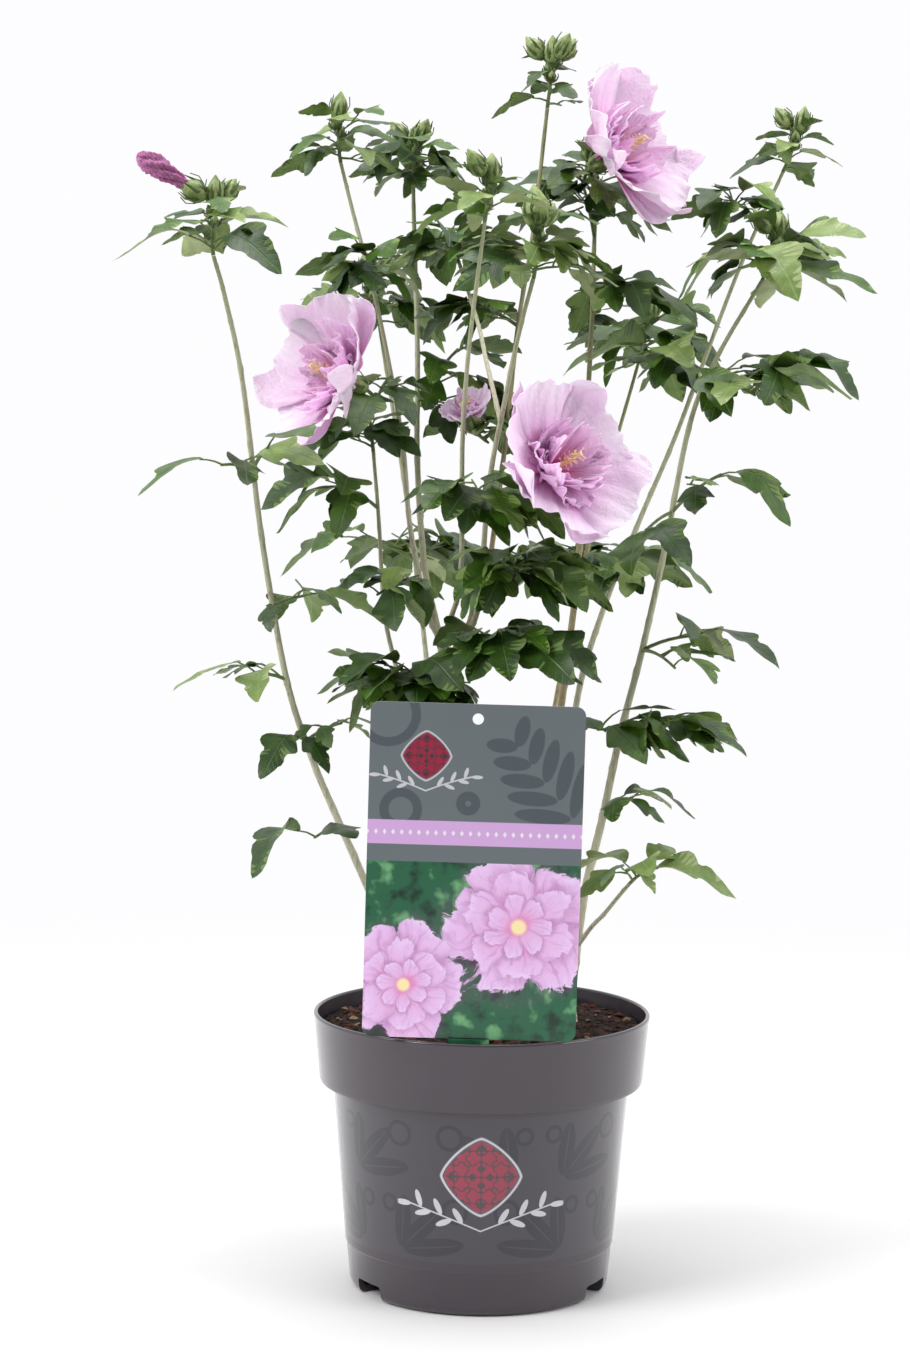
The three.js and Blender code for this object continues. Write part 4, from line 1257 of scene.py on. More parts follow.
# Each mass: name, limb, ends of its twigs, leaves, leaf size and seed, then what only some have
MASSES = (
    MassPlan("left_top", "stem_left", ((-149, -58, 604),), 8, 44, 11, turn=178, buds=2,
        bloom=Flower(State.FADED, (-165, -62, 613), (-0.84, -0.2, 0.5), 31)),
    MassPlan("left_back_top", "bough_left_back", ((-89, 62, 664),), 9, 34, 12, turn=170, buds=1),
    MassPlan("centre_top", "stem_centre", ((-45, 118, 654),), 8, 38, 13, turn=-10, buds=3),
    MassPlan("front_top", "bough_front", ((-2, -114, 612),), 9, 34, 14, turn=200, buds=2),
    MassPlan("right_front_top", "bough_right_front", ((24, -61, 593),), 9, 40, 15, turn=215, buds=3),
    MassPlan("inner_top", "bough_inner", ((-25, 50, 598),), 10, 40, 16, turn=190),
    MassPlan("top_top", "bough_top", ((34, 40, 694),), 6, 28, 17, turn=185, buds=4),
    MassPlan("brown_top", "stem_brown", ((58, 99, 646),), 8, 42, 18, turn=20, buds=2),
    MassPlan("right_back_top", "stem_right_back", ((184, 112, 665),), 8, 32, 19, turn=60, buds=2),
    MassPlan("right_top", "stem_right", ((162, 20, 596),), 8, 52, 20, turn=-15, buds=2),
    MassPlan("thin_top", "stem_thin", ((-69, 42, 496),), 9, 42, 21, turn=0),
    MassPlan("low_top", "shoot_low", ((88, -59, 246),), 4, 46, 22, turn=-5),
    MassPlan("back_left_top", "stem_back_left", ((-75, 150, 578),), 7, 48, 23, turn=120, buds=2),
    MassPlan("back_right_top", "stem_back_right", ((100, 156, 556),), 7, 48, 24, turn=60, buds=2),
    MassPlan("left_low", "stem_left", ((-95, -24, 257),), 2, 44, 31, at=262),
    MassPlan("left_low_inner", "stem_left", ((-80, -28, 322), (-106, -30, 314),), 4, 32, 32, at=310),
    MassPlan("left_mid", "stem_left", ((-128, -30, 349),), 3, 42, 33, at=345),
    MassPlan("left_mid_inner", "stem_left", ((-102, -22, 392),), 4, 42, 34, at=386),
    MassPlan("left_high", "stem_left", ((-146, -52, 464), (-120, -56, 474),), 4, 46, 35, at=462),
    MassPlan("thin_high", "stem_thin", ((-82, 18, 451),), 7, 44, 37, at=440),
    MassPlan("left_back_high", "bough_left_back", ((-66, 34, 582),), 8, 38, 39, at=570),
    MassPlan("bloom_left", "bough_left_back", ((-64, 4, 500),), 4, 36, 40, at=515, bloom=Flower(State.OPEN,
        (-79, -10, 511), (-0.8, -0.5, 0.33), 92)),
    MassPlan("centre_high", "stem_centre", ((-22, 90, 596),), 8, 42, 41, at=585),
    MassPlan("centre_low", "stem_centre", ((-44, -24, 352),), 9, 46, 43, at=322),
    MassPlan("centre_left", "bough_left_back", ((-62, -2, 392),), 9, 44, 44, at=400),
    MassPlan("front_mid", "bough_front", ((-2, -74, 452),), 8, 44, 45, at=440),
    MassPlan("right_front_low", "bough_right_front", ((20, -44, 408),), 9, 46, 46, at=398),
    MassPlan("right_front_foot", "bough_right_front", ((14, -44, 366),), 9, 46, 47, at=362),
    MassPlan("bloom_front", "bough_right_front", ((24, -58, 452),), 5, 42, 48, at=462,
        bloom=Flower(State.OPEN, (32, -78, 463), (0.6, -0.7, 0.39), 92)),
    MassPlan("bloom_inner", "stem_centre", ((0, 34, 478), (-18, 56, 532),), 8, 44, 49, at=500,
        bloom=Flower(State.OPEN, (-11, 24, 494), (-0.35, -0.5, 0.8), 32)),
    MassPlan("bloom_top", "stem_brown", ((53, 74, 630),), 3, 34, 50, at=600, bloom=Flower(State.OPEN, (67,
        64, 643), (0.78, -0.47, 0.41), 98)),
    MassPlan("brown_high", "stem_brown", ((82, 76, 572),), 9, 40, 51, at=560),
    MassPlan("brown_low", "stem_brown", ((80, 24, 410),), 6, 42, 52, at=400),
    MassPlan("top_mid", "bough_top", ((-8, 44, 556),), 9, 40, 53, at=545),
    MassPlan("right_back_high", "stem_right_back", ((140, 84, 622),), 6, 38, 54, at=610),
    MassPlan("right_back_mid", "stem_right_back", ((96, 52, 530),), 7, 44, 55, at=515),
    MassPlan("right_high", "stem_right", ((148, -6, 506),), 6, 54, 56, at=515),
    MassPlan("right_mid", "stem_right", ((129, -14, 462), (82, -20, 424),), 5, 44, 57, at=440),
    MassPlan("right_low", "stem_right", ((119, -12, 372), (104, -32, 355),), 4, 42, 59, at=362),
    MassPlan("right_foot", "stem_right", ((102, -22, 322), (62, -28, 320),), 5, 42, 60, at=312),
    MassPlan("back_left_low", "stem_back_left", ((-74, 102, 420), (-32, 134, 412),), 8, 46, 62, at=408),
    MassPlan("back_right_low", "stem_back_right", ((90, 112, 410), (48, 138, 404),), 8, 46, 63, at=400),
    MassPlan("right_base", "stem_right", ((82, -27, 281),), 4, 36, 61, at=272),
)


class KeptSpace:
    """The beads by which limbs, twigs, leaves and blooms keep their space."""

    def __init__(self) -> None:
        """Start empty."""
        self.points = np.zeros((0, 3))
        self.reaches = np.zeros(0)
        self.owners = np.zeros(0, dtype=object)

    def keep(self, points: Array, reach: float, owner: str) -> None:
        """Keep the space round some points.

        Args:
            points: the points.
            reach: how far round each.
            owner: who keeps it.
        """
        self.points = np.vstack((self.points, points))
        self.reaches = np.concatenate((self.reaches, np.full(len(points), reach)))
        self.owners = np.concatenate((self.owners, np.full(len(points), owner, dtype=object)))

    def is_free(self, points: Array, reach: float, owner: str, crowding: float = 0.6) -> bool:
        """Say whether nothing else is near some points.

        Args:
            points: the points.
            reach: how far round each must be free.
            owner: whose they are.
            crowding: how much closer things of one owner may come.

        Returns:
            True if all are free and above the soil.
        """
        if (points[:, 2] < SOIL_TOP + reach).any():
            return False
        share = np.where(self.owners == owner, crowding, 1.0)
        limits = (self.reaches + reach) * share
        distances = np.linalg.norm(points[:, None, :] - self.points[None, :, :], axis=2)
        return not (distances < limits[None, :]).any()


@dataclass
class Leaf:
    """A leaf where it grew: its stalk's root, where it points, its roll about the midrib, and its shape."""

    root: Array
    azimuth: float
    elevation: float
    size: float
    roll: float
    droop: float
    fold: float
    spots = ((0.2, 0), (0.4, 0), (0.6, 0), (0.8, 0), (1, 0), (0.34, 0.17), (0.34, -0.17),
             (0.5, 0.3), (0.5, -0.3), (0.66, 0.12), (0.66, -0.12))
    spacing = 0.115

    def __post_init__(self) -> None:
        """Turn the blade and set it at the end of its stalk."""
        self.along = heading(self.azimuth, self.elevation)
        level = unit(np.cross(UP, self.along))
        self.side = level * math.cos(self.roll) + np.cross(self.along, level) * math.sin(self.roll)
        self.normal = np.cross(self.along, self.side)
        self.base = self.root + heading(self.azimuth, self.elevation + 0.5) * 0.3 * self.size
        self.reach = self.spacing * self.size

    def spot(self, u: float, v: float) -> Array:
        """Give the place at u along the midrib and v aside of it."""
        lift = self.fold * abs(v) - self.droop * u * u
        return self.base + (self.along * u + self.side * v + self.normal * lift) * self.size

    def beads(self) -> Array:
        """Mark the space that the leaf takes."""
        return np.array([self.spot(u, v) for u, v in self.spots])


@dataclass(frozen=True)
class Bud:
    """A flower bud on its stalk."""

    foot: Array
    waist: Array
    tip: Array
    radius: float = 5.2

    def out(self, angle: float) -> Array:
        """Give the direction away from the bud's axis.

        Args:
            angle: angle round the axis.

        Returns:
            The direction.
        """
        along = unit(self.tip - self.waist)
        across = unit(np.cross(along, np.array((0.3, 1.0, 0.2))))
        return across * math.cos(angle) + np.cross(along, across) * math.sin(angle)


class Filling(Enum):
    """How far apart the finer twigs of a mass leave its stem, in millimetres."""

    SPARSE = 17.0
    OPEN = 8.0
    FULL = 3.4
    LUSH = 1.9


FILLINGS = {
    Filling.LUSH: ("centre_low", "centre_left", "right_front_foot", "right_front_low", "front_mid",
                   "centre_high", "bloom_inner", "left_back_high"),
    Filling.FULL: ("right_high", "right_top"),
    Filling.SPARSE: ("left_low", "left_low_inner", "left_mid", "left_mid_inner", "thin_high", "bloom_left",
                     "top_top", "right_mid", "right_low", "right_base", "low_top", "right_back_top"),
}


class Mass:
    """One mass of foliage: the source's twigs and leaves, and finer ones among them."""

    tries = 7
    shrink = 0.93
    last_leaf = 0.95
    bud_length = 15.0
    bud_stalk = 9.0
    margin = 6.0

    def __init__(self, plan: MassPlan, limbs: dict[str, Limb]) -> None:
        """Root the mass on its limb and bend its twigs.

        Args:
            plan: its place and make.
            limbs: all limbs by name.
        """
        self.plan = plan
        self.draw = Draw(plan.seed)
        self.fine_draw = Draw(plan.seed + 500)
        self.limb = limbs[plan.limb]
        self.upright = plan.at is None
        curve = self.limb.curve
        top = curve.point(1) + curve.tangent(1) * CLEARANCE
        self.root = top if self.upright else self.limb.at_height(plan.at)
        self.twigs = [self.twig(np.array(end, float)) for end in plan.ends]
        self.filling = self.choose_filling()
        self.dense = self.filling in (Filling.FULL, Filling.LUSH)
        self.leaves: list[Leaf] = []
        self.fine_twigs: list[Bend] = []

    def choose_filling(self) -> Filling:
        """Fill the middle and the back of the crown more than its outer sides.

        Returns:
            How densely the mass is filled.
        """
        for filling, names in FILLINGS.items():
            if self.plan.name in names:
                return filling
        central = math.hypot(self.root[0], self.root[1] - 20) < 90 or self.root[1] > 95
        return Filling.FULL if central else Filling.OPEN

    def twig(self, end: Array) -> Bend:
        """Bend a twig from the root to its end.

        Args:
            end: its end.

        Returns:
            The twig's curve.
        """
        if self.upright:
            return Bend(self.root, self.root + self.limb.curve.tangent(1) * 6, end)
        arch = UP * 0.12 * np.linalg.norm(end - self.root)
        return Bend(self.root, self.root + (end - self.root) * 0.45 + arch, end)

    def buds(self) -> list[Bud]:
        """Place the buds round the end of the first twig.

        Returns:
            The buds.
        """
        found = []
        for k in range(self.plan.buds):
            turn = GOLDEN_TURN * k + self.plan.seed
            spread = 0.15 if k == 0 else 0.85
            lean = unit(np.array((math.cos(turn) * spread, math.sin(turn) * spread, 1.0)))
            foot = self.twigs[0].point(1 if k == 0 else 0.9)
            waist = foot + lean * (0 if k == 0 else self.bud_stalk)
            found.append(Bud(foot, waist, waist + lean * self.bud_length))
        return found

    def small_buds(self) -> list[Bud]:
        """Place small buds in the leaf joints of a head that bears buds.

        Returns:
            The buds, none on a head without large ones.
        """
        found = []
        for k in range(3 if self.plan.buds else 0):
            turn = GOLDEN_TURN * k + self.plan.seed + 2.0
            lean = unit(np.array((math.cos(turn) * 0.5, math.sin(turn) * 0.5, 1.0)))
            foot = self.twigs[0].point(0.92 - 0.12 * k)
            found.append(Bud(foot, foot, foot + lean * (9.5 - 1.2 * k), 3.1 - 0.3 * k))
        return found

    def keep_twigs(self, space: KeptSpace) -> None:
        """Keep the space of twigs, bloom and buds.

        Args:
            space: where kept space is noted.
        """
        for twig in self.twigs:
            space.keep(twig.beads(6)[1:], 2, self.plan.name)
        if self.plan.bloom:
            space.keep(self.plan.bloom.beads(), 5, self.plan.name)
        for bud in self.buds():
            space.keep(bud.tip[None, :], 5, self.plan.name)

    def leaf_plan(self, k: int) -> tuple[Bend, float, float, float, float]:
        """Plan the k-th leaf.

        Args:
            k: its number.

        Returns:
            Its twig, its place on it, its azimuth, its elevation and its size.
        """
        plan = self.plan
        twig = self.twigs[k % len(self.twigs)]
        rank = k // len(self.twigs)
        ranks = math.ceil(plan.leaves / len(self.twigs))
        if self.upright:
            t = 0.25 + 0.7 * k / max(1, plan.leaves - 1)
            azimuth = math.radians(plan.turn) + GOLDEN_TURN * k
            return twig, t, azimuth, -0.45 + 0.75 * t + 0.3 * self.draw(), plan.size * (1.12 - 0.6 * t)
        course = twig.point(1) - twig.point(0.5)
        bearing = math.atan2(course[1], course[0])
        side = 1 if rank % 2 else -1
        yaw = 0 if rank == 0 else side * (0.75 + 0.5 * self.draw())
        elevation = -0.38 + 0.5 * self.draw()
        t = self.last_leaf - 0.62 * rank / ranks
        return twig, t, bearing + yaw, elevation, plan.size * (1 - 0.45 * rank / ranks)

    def grow(self, space: KeptSpace) -> None:
        """Grow the leaves, each at the first of several angles that is free.

        Args:
            space: where kept space is noted.
        """
        draw = self.draw
        for k in range(self.plan.leaves):
            twig, t, azimuth, elevation, size = self.leaf_plan(k)
            for attempt in range(self.tries):
                roll, droop, fold = draw() - 0.5, 0.12 + 0.34 * draw(), -0.2 + 0.55 * draw()
                leaf = Leaf(twig.point(t), azimuth, elevation, size, roll, droop, fold)
                if space.is_free(leaf.beads(), leaf.reach, self.plan.name):
                    self.take(leaf, space)
                    break
                azimuth += (-1 if attempt % 2 else 1) * 0.42 * (attempt + 1)
                size *= self.shrink

    def take(self, leaf: Leaf, space: KeptSpace) -> None:
        """Add a leaf and keep its space."""
        space.keep(leaf.beads(), leaf.reach, self.plan.name)
        self.leaves.append(leaf)

    def inside(self, points: Array) -> bool:
        """Say whether points lie within the solid's own reach.

        Args:
            points: the points.

        Returns:
            Whether all do.
        """
        low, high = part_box(f"foliage_{self.plan.name}")
        low, high = np.array(low) / MM - self.margin, np.array(high) / MM + self.margin
        return bool((points >= low).all() and (points <= high).all())

    def behind_bloom(self, points: Array) -> bool:
        """Say whether points keep out of the cup of the mass's own bloom.

        Args:
            points: the points.

        Returns:
            Whether all do.
        """
        flower = self.plan.bloom
        if flower is None:
            return True
        away = points - flower.throat
        ahead = away @ flower.forward
        aside = np.sqrt(np.maximum(0.0, (away ** 2).sum(axis=1) - ahead ** 2))
        inside = (ahead > flower.rise * aside - 7) & (aside < flower.span / 2 + 4) & (ahead > -14)
        return not inside.any()

    def grow_finer(self, space: KeptSpace) -> None:
        """Grow short side twigs with small leaves among the larger ones.

        Args:
            space: where kept space is noted.
        """
        draw = self.fine_draw
        fewest = 1 if self.filling is Filling.SPARSE else 3
        for twig in self.twigs:
            count = max(fewest, round(twig.length() / self.filling.value))
            for k in range(count):
                azimuth = GOLDEN_TURN * k + self.plan.seed + 1.1
                elevation = draw.between(-0.2, 0.6)
                reach = self.plan.size * draw.between(0.15, 0.6 if self.dense else 0.45)
                start = twig.point(0.18 + 0.8 * k / count)
                end = start + heading(azimuth, elevation) * reach
                shoot = Bend(start, (start + end) / 2 + UP * reach * 0.1, end)
                if self.leaf_out(shoot, azimuth, space):
                    self.fine_twigs.append(shoot)

    def leaf_out(self, shoot: Bend, azimuth: float, space: KeptSpace) -> bool:
        """Put small leaves on a short twig.

        Args:
            shoot: the twig.
            azimuth: which way it points.
            space: the kept space.

        Returns:
            True if it got any.
        """
        draw, before = self.fine_draw, len(self.leaves)
        crowding, least = (0.18, 0.58) if self.dense else (0.34, 0.42)
        for turn, t in ((0.0, 1.0), (1.0, 0.7), (-1.0, 0.5)):
            size = self.plan.size * draw.between(least, 0.85)
            roll, droop, fold = draw.between(-0.6, 0.6), draw.between(0.1, 0.4), draw.between(-0.2, 0.4)
            leaf = Leaf(shoot.point(t), azimuth + turn, draw.between(-0.6, 0.25), size, roll, droop, fold)
            beads = leaf.beads()
            fits = self.inside(beads) and self.behind_bloom(beads)
            if fits and space.is_free(beads, leaf.reach * 0.6, self.plan.name, crowding):
                self.take(leaf, space)
        return len(self.leaves) > before


class Shrub:
    """The growing shrub: its limbs and masses, with every leaf in its place."""

    def __init__(self, card: "PictureCard") -> None:
        """Grow everything in the source's order.

        Args:
            card: the card, which the leaves keep clear of.
        """
        self.limbs = {limb.name: limb for limb in LIMBS}
        self.space = KeptSpace()
        for limb in self.limbs.values():
            self.space.keep(limb.curve.beads(5), limb.base + 0.8, "limb")
        self.space.keep(card.beads(), card.bead_reach, "card")
        self.masses = [Mass(plan, self.limbs) for plan in MASSES]
        for mass in self.masses:
            mass.keep_twigs(self.space)
        for mass in self.masses:
            mass.grow(self.space)
        for mass in self.masses:
            mass.grow_finer(self.space)
        LOG.info("leaves: %d", sum(len(mass.leaves) for mass in self.masses))


# Pot, soil and card


@dataclass
class NurseryPot:
    """Thin-walled pot with a rolled rim, a collar, a stepped foot and three drain notches."""

    height: float = 156.0
    rim: float = 95.5
    collar: float = 92.0
    ledge: float = 118.0
    shoulder: float = 84.0
    foot: float = 74.0
    foot_height: float = 6.0
    line: float = 25.0
    line_step: float = 0.7
    wall: float = 1.6
    floor: float = 4.0
    lip: float = 1.2
    sides: int = 160
    notch_turns: tuple[float, ...] = (-57.0, 63.0, 183.0)
    notch_width: float = 23.0
    notch_height: float = 9.0
    notch_inner: float = 61.0
    notch_outer: float = 82.0
    finish: PotPlastic = PotPlastic()

    def inner(self, height: float) -> float:
        """Give the radius of the inner wall at a height.

        Args:
            height: the height.

        Returns:
            The radius.
        """
        low, shoulder, collar = self.foot - self.wall, self.shoulder - self.wall, self.collar - self.wall
        if height < self.ledge - self.wall:
            return low + (shoulder - low) * (height - self.floor) / (self.ledge - self.wall - self.floor)
        top = self.rim - self.wall - self.lip
        return collar + (top - collar) * (height - self.ledge) / (self.height - self.ledge)

    def profile(self) -> list[Spot]:
        """Draw the section of the wall, from under the floor round the rim to the floor inside.

        Returns:
            Radius and height of each point.
        """
        foot, shoulder, collar, rim = self.foot, self.shoulder, self.collar, self.rim
        base, ledge, top = self.floor, self.ledge, self.height
        slope = (shoulder - foot) / (ledge - 4 - self.foot_height)
        line, step = foot + slope * (self.line - self.foot_height), self.line_step
        lip = [polar((rim - self.lip, top - self.lip), self.lip, turn) for turn in range(-20, 181, 20)]
        return [
            (0, 0), (foot - 5, 0), (foot - 2.6, 0.4), (foot - 1.2, 1.6), (foot - 0.3, 3.6),
            (foot, self.foot_height), (line - 0.05, self.line - 0.4), (line + 0.15, self.line),
            (line + step, self.line + 0.7), (line + step, self.line + 1.2),
            (shoulder, ledge - 4), (shoulder + 0.4, ledge - 2.4), (collar - 1.6, ledge - 1.4),
            (collar - 0.5, ledge - 0.9), (collar, ledge + 0.3), (collar + 0.1, ledge + 1.6),
            (rim - 0.6, top - 4.5), (rim - 0.35, top - 3.0),
            *lip,
            (self.inner(ledge + 1.5), ledge + 1.5), (self.inner(ledge + 1.5) - 1, ledge),
            (shoulder - self.wall, ledge - 4.5 + self.wall),
            (self.inner(base + 4), base + 4), (self.inner(base) - 3, base), (0, base),
        ]

    def build(self) -> None:
        """Spin the wall, cut the drain notches and dress the pot."""
        mesh = bpy.data.meshes.new("nursery_pot")
        points = [(radius * MM, 0.0, height * MM) for radius, height in self.profile()]
        mesh.from_pydata(points, [(i, i + 1) for i in range(len(points) - 1)], [])
        pot = Bench.link("nursery_pot", mesh)
        with Bench.editing(pot):
            bpy.ops.mesh.select_all(action="SELECT")
            bpy.ops.mesh.spin(steps=self.sides, angle=2 * math.pi, center=(0, 0, 0), axis=(0, 0, 1))
            bpy.ops.mesh.select_all(action="SELECT")
            bpy.ops.mesh.remove_doubles(threshold=0.00001)
            bpy.ops.mesh.normals_make_consistent(inside=False)
        for turn in self.notch_turns:
            Bench.cut(pot, self.notch(turn))
        Bench.smooth(pot, 32)
        pot.data.materials.append(self.finish.material())
        Bench.finish(pot, "pot", ["pot"])

    def notch(self, turn: float) -> Piece:
        """Make the cutter of one drain notch, a block rounded at its top.

        Args:
            turn: where it is, in degrees about the pot.

        Returns:
            The cutter.
        """
        angle = math.radians(turn)
        reach = (self.notch_inner + self.notch_outer) / 2
        middle = (reach * math.sin(angle), -reach * math.cos(angle), self.notch_height / 2 - 1)
        size = (self.notch_width, self.notch_outer - self.notch_inner, self.notch_height + 2)
        block = Bench.start(bpy.ops.mesh.primitive_cube_add, "notch_cutter", size=1, rotation=(0, 0, angle),
                            location=[part * MM for part in middle], scale=[part * MM for part in size])
        Bench.settle(block)
        with Bench.editing(block) as mesh:
            top = max(vertex.co.z for vertex in mesh.verts)
            for edge in mesh.edges:
                edge.select = all(abs(vertex.co.z - top) < 0.0001 for vertex in edge.verts)
            bmesh.update_edit_mesh(block.data)
            bpy.ops.mesh.bevel(offset=2.0 * MM, segments=4)
        return block


@dataclass
class PottingSoil:
    """Uneven peat with bark chips and crumbs lying on it."""

    top: float = SOIL_TOP
    flat: float = 62.0
    radius: float = 91.2
    edge_drop: float = 3.0
    depth: float = 18.0
    rings: int = 26
    sides: int = 120
    crumbs: int = 2400
    seed: int = 77
    kinds: tuple[Peat, ...] = (
        Peat("peat_dark", srgb(24, 13, 9), srgb(46, 26, 18)),
        Peat("peat_brown", srgb(44, 24, 16), srgb(70, 40, 26)),
        Peat("bark_chip_red", srgb(70, 34, 22), srgb(100, 52, 34)),
        Peat("bark_chip_pale", srgb(120, 94, 68), srgb(160, 134, 102)),
    )
    shares: tuple[float, ...] = (0.5, 0.82, 0.975)

    def height(self, x: float, y: float) -> float:
        """Give the height of the soil at a place.

        Args:
            x: place to the right.
            y: place backwards.

        Returns:
            The height in millimetres.
        """
        slope = self.edge_drop * max(0.0, (math.hypot(x, y) - self.flat) / (self.radius - self.flat))
        lumps = (math.sin(x * 0.16 + 1.3) * math.cos(y * 0.19 - 0.4) * 1.1
                 + math.sin(x * 0.43 + y * 0.31) * 0.6 + math.cos(y * 0.71 - x * 0.37 + 2.0) * 0.45)
        return self.top - slope + lumps - 0.9

    def build(self) -> None:
        """Model the body of the soil."""
        soil = Bench.start(bpy.ops.mesh.primitive_cylinder_add, "potting_soil", vertices=self.sides,
                           radius=self.radius * MM, depth=self.depth * MM,
                           location=(0, 0, (self.top - self.depth / 2) * MM))
        Bench.settle(soil)
        with Bench.editing(soil) as mesh:
            for face in mesh.faces:
                face.select = face.normal.z > 0.9
            bmesh.update_edit_mesh(soil.data)
            for _ in range(self.rings):
                bpy.ops.mesh.inset(thickness=self.radius / (self.rings + 1) * MM, depth=0)
            bpy.ops.mesh.merge(type="CENTER")
        for vertex in soil.data.vertices:
            if vertex.co.z > (self.top - 1) * MM:
                vertex.co.z = self.height(vertex.co.x / MM, vertex.co.y / MM) * MM
        Bench.smooth(soil, 60)
        soil.data.materials.append(self.kinds[0].material())
        Bench.finish(soil, "soil", ["soil"])

    def scatter(self) -> None:
        """Scatter crumbs and chips over the soil as one joined piece."""
        draw = Draw(self.seed)
        stock = Stock()
        for _ in range(self.crumbs):
            turn, reach = draw.between(0, 2 * math.pi), math.sqrt(draw()) * (self.radius - 4)
            x, y = reach * math.cos(turn), reach * math.sin(turn)
            kind = draw()
            skin = sum(kind >= share for share in self.shares)
            length = draw.between(1.0, 2.8) if skin < 2 else draw.between(1.6, 4.6)
            half = (length, length * draw.between(0.4, 0.8), length * draw.between(0.25, 0.5))
            self.crumb(stock, np.array((x, y, self.height(x, y) + 0.3)), half, draw, skin)
        piece = stock.piece("soil_crumbs", [kind.material() for kind in self.kinds], 30)
        Bench.finish(piece, "soil")

    @staticmethod
    def crumb(stock: Stock, middle: Array, half: Place, draw: Draw, skin: int) -> None:
        """Add one crumb: an uneven eight-sided lump.

        Args:
            stock: where it goes.
            middle: its middle.
            half: half its length, width and height.
            draw: the seeded numbers.
            skin: its material number.
        """
        turn = draw.between(0, math.pi)
        along = np.array((math.cos(turn), math.sin(turn), draw.between(-0.3, 0.3)))
        aside = np.cross(UP, along)
        ring = [middle + along * half[0] * math.cos(a) * draw.between(0.7, 1.1)
                + aside * half[1] * math.sin(a) * draw.between(0.7, 1.1)
                for a in (2 * math.pi * k / 5 for k in range(5))]
        points = np.array(ring + [middle + UP * half[2], middle - UP * half[2]])
        faces = [(k, (k + 1) % 5, 5) for k in range(5)] + [((k + 1) % 5, k, 6) for k in range(5)]
        stock.add(points, faces, np.full((7, 2), 0.5), skin)


@dataclass
class PictureCard:
    """Thin plastic card with rounded corners, a hanging hole and a tongue in the soil."""

    width: float = 115.0
    height: float = 181.0
    thickness: float = 0.8
    corner: float = 5.0
    hole_radius: float = 3.0
    hole_drop: float = 8.0
    middle: Place = (-6.3, -88.0, 248.2)
    roll: float = -1.0
    tongue_width: float = 22.0
    tongue_length: float = 33.0
    bead_step: float = 11.5
    bead_reach: float = 7.0

    def beads(self) -> Array:
        """Mark the upper half of the card, which the leaves come near.

        Returns:
            The marked places.
        """
        x, y, z = self.middle
        across = np.arange(-self.width / 2, self.width / 2 + 0.001, self.bead_step)
        above = np.arange(0, self.height / 2 + 0.001, self.bead_step)
        return np.array([(x + a, y, z + b) for a in across for b in above])

    def below(self, drop: float) -> Vector:
        """Give the place so far below the card's middle, along the card."""
        turned = Matrix.Rotation(math.radians(-self.roll), 3, "Y")
        return Vector(self.middle) * MM + turned @ Vector((0, 0, -drop * MM))

    def slab(self, name: str, size: Place, drop: float = 0.0) -> Piece:
        """Add a block in the card's own frame.

        Args:
            name: its name.
            size: width, thickness and height.
            drop: how far below the card's middle.

        Returns:
            The block.
        """
        turn = (0, math.radians(-self.roll), 0)
        block = Bench.start(bpy.ops.mesh.primitive_cube_add, name, size=1, location=self.below(drop),
                            rotation=turn, scale=[part * MM for part in size])
        Bench.take(block)
        bpy.ops.object.transform_apply(location=False, rotation=False, scale=True)
        return block

    def build(self) -> None:
        """Model the card and dress its two sides."""
        card = self.slab("picture_card_print", (self.width, self.thickness, self.height))
        with Bench.editing(card) as mesh:
            for edge in mesh.edges:
                first, second = edge.verts
                edge.select = abs(first.co.y - second.co.y) > 0.5 * self.thickness * MM
            bmesh.update_edit_mesh(card.data)
            bpy.ops.mesh.bevel(offset=self.corner * MM, segments=8)
        Bench.settle(card)
        drill = Bench.start(bpy.ops.mesh.primitive_cylinder_add, "hole_cutter", vertices=40,
                            radius=self.hole_radius * MM, depth=0.01, rotation=(math.pi / 2, 0, 0),
                            location=self.below(self.hole_drop - self.height / 2))
        Bench.settle(drill)
        Bench.cut(card, drill)
        tongue = self.slab("card_tongue", (self.tongue_width, self.thickness, self.tongue_length),
                           self.height / 2 + self.tongue_length / 2 - 0.5)
        Bench.settle(tongue)
        Bench.take(card)
        tongue.select_set(True)
        bpy.ops.object.join()
        for finish in (CardPrint(self.middle, self.roll), CardBack()):
            card.data.materials.append(finish.material())
        for face in card.data.polygons:
            face.material_index = 0 if face.normal.y < -0.9 else 1
        Bench.finish(card, "card", ["picture_card"])


# Stems, twigs, leaves, buds and blooms


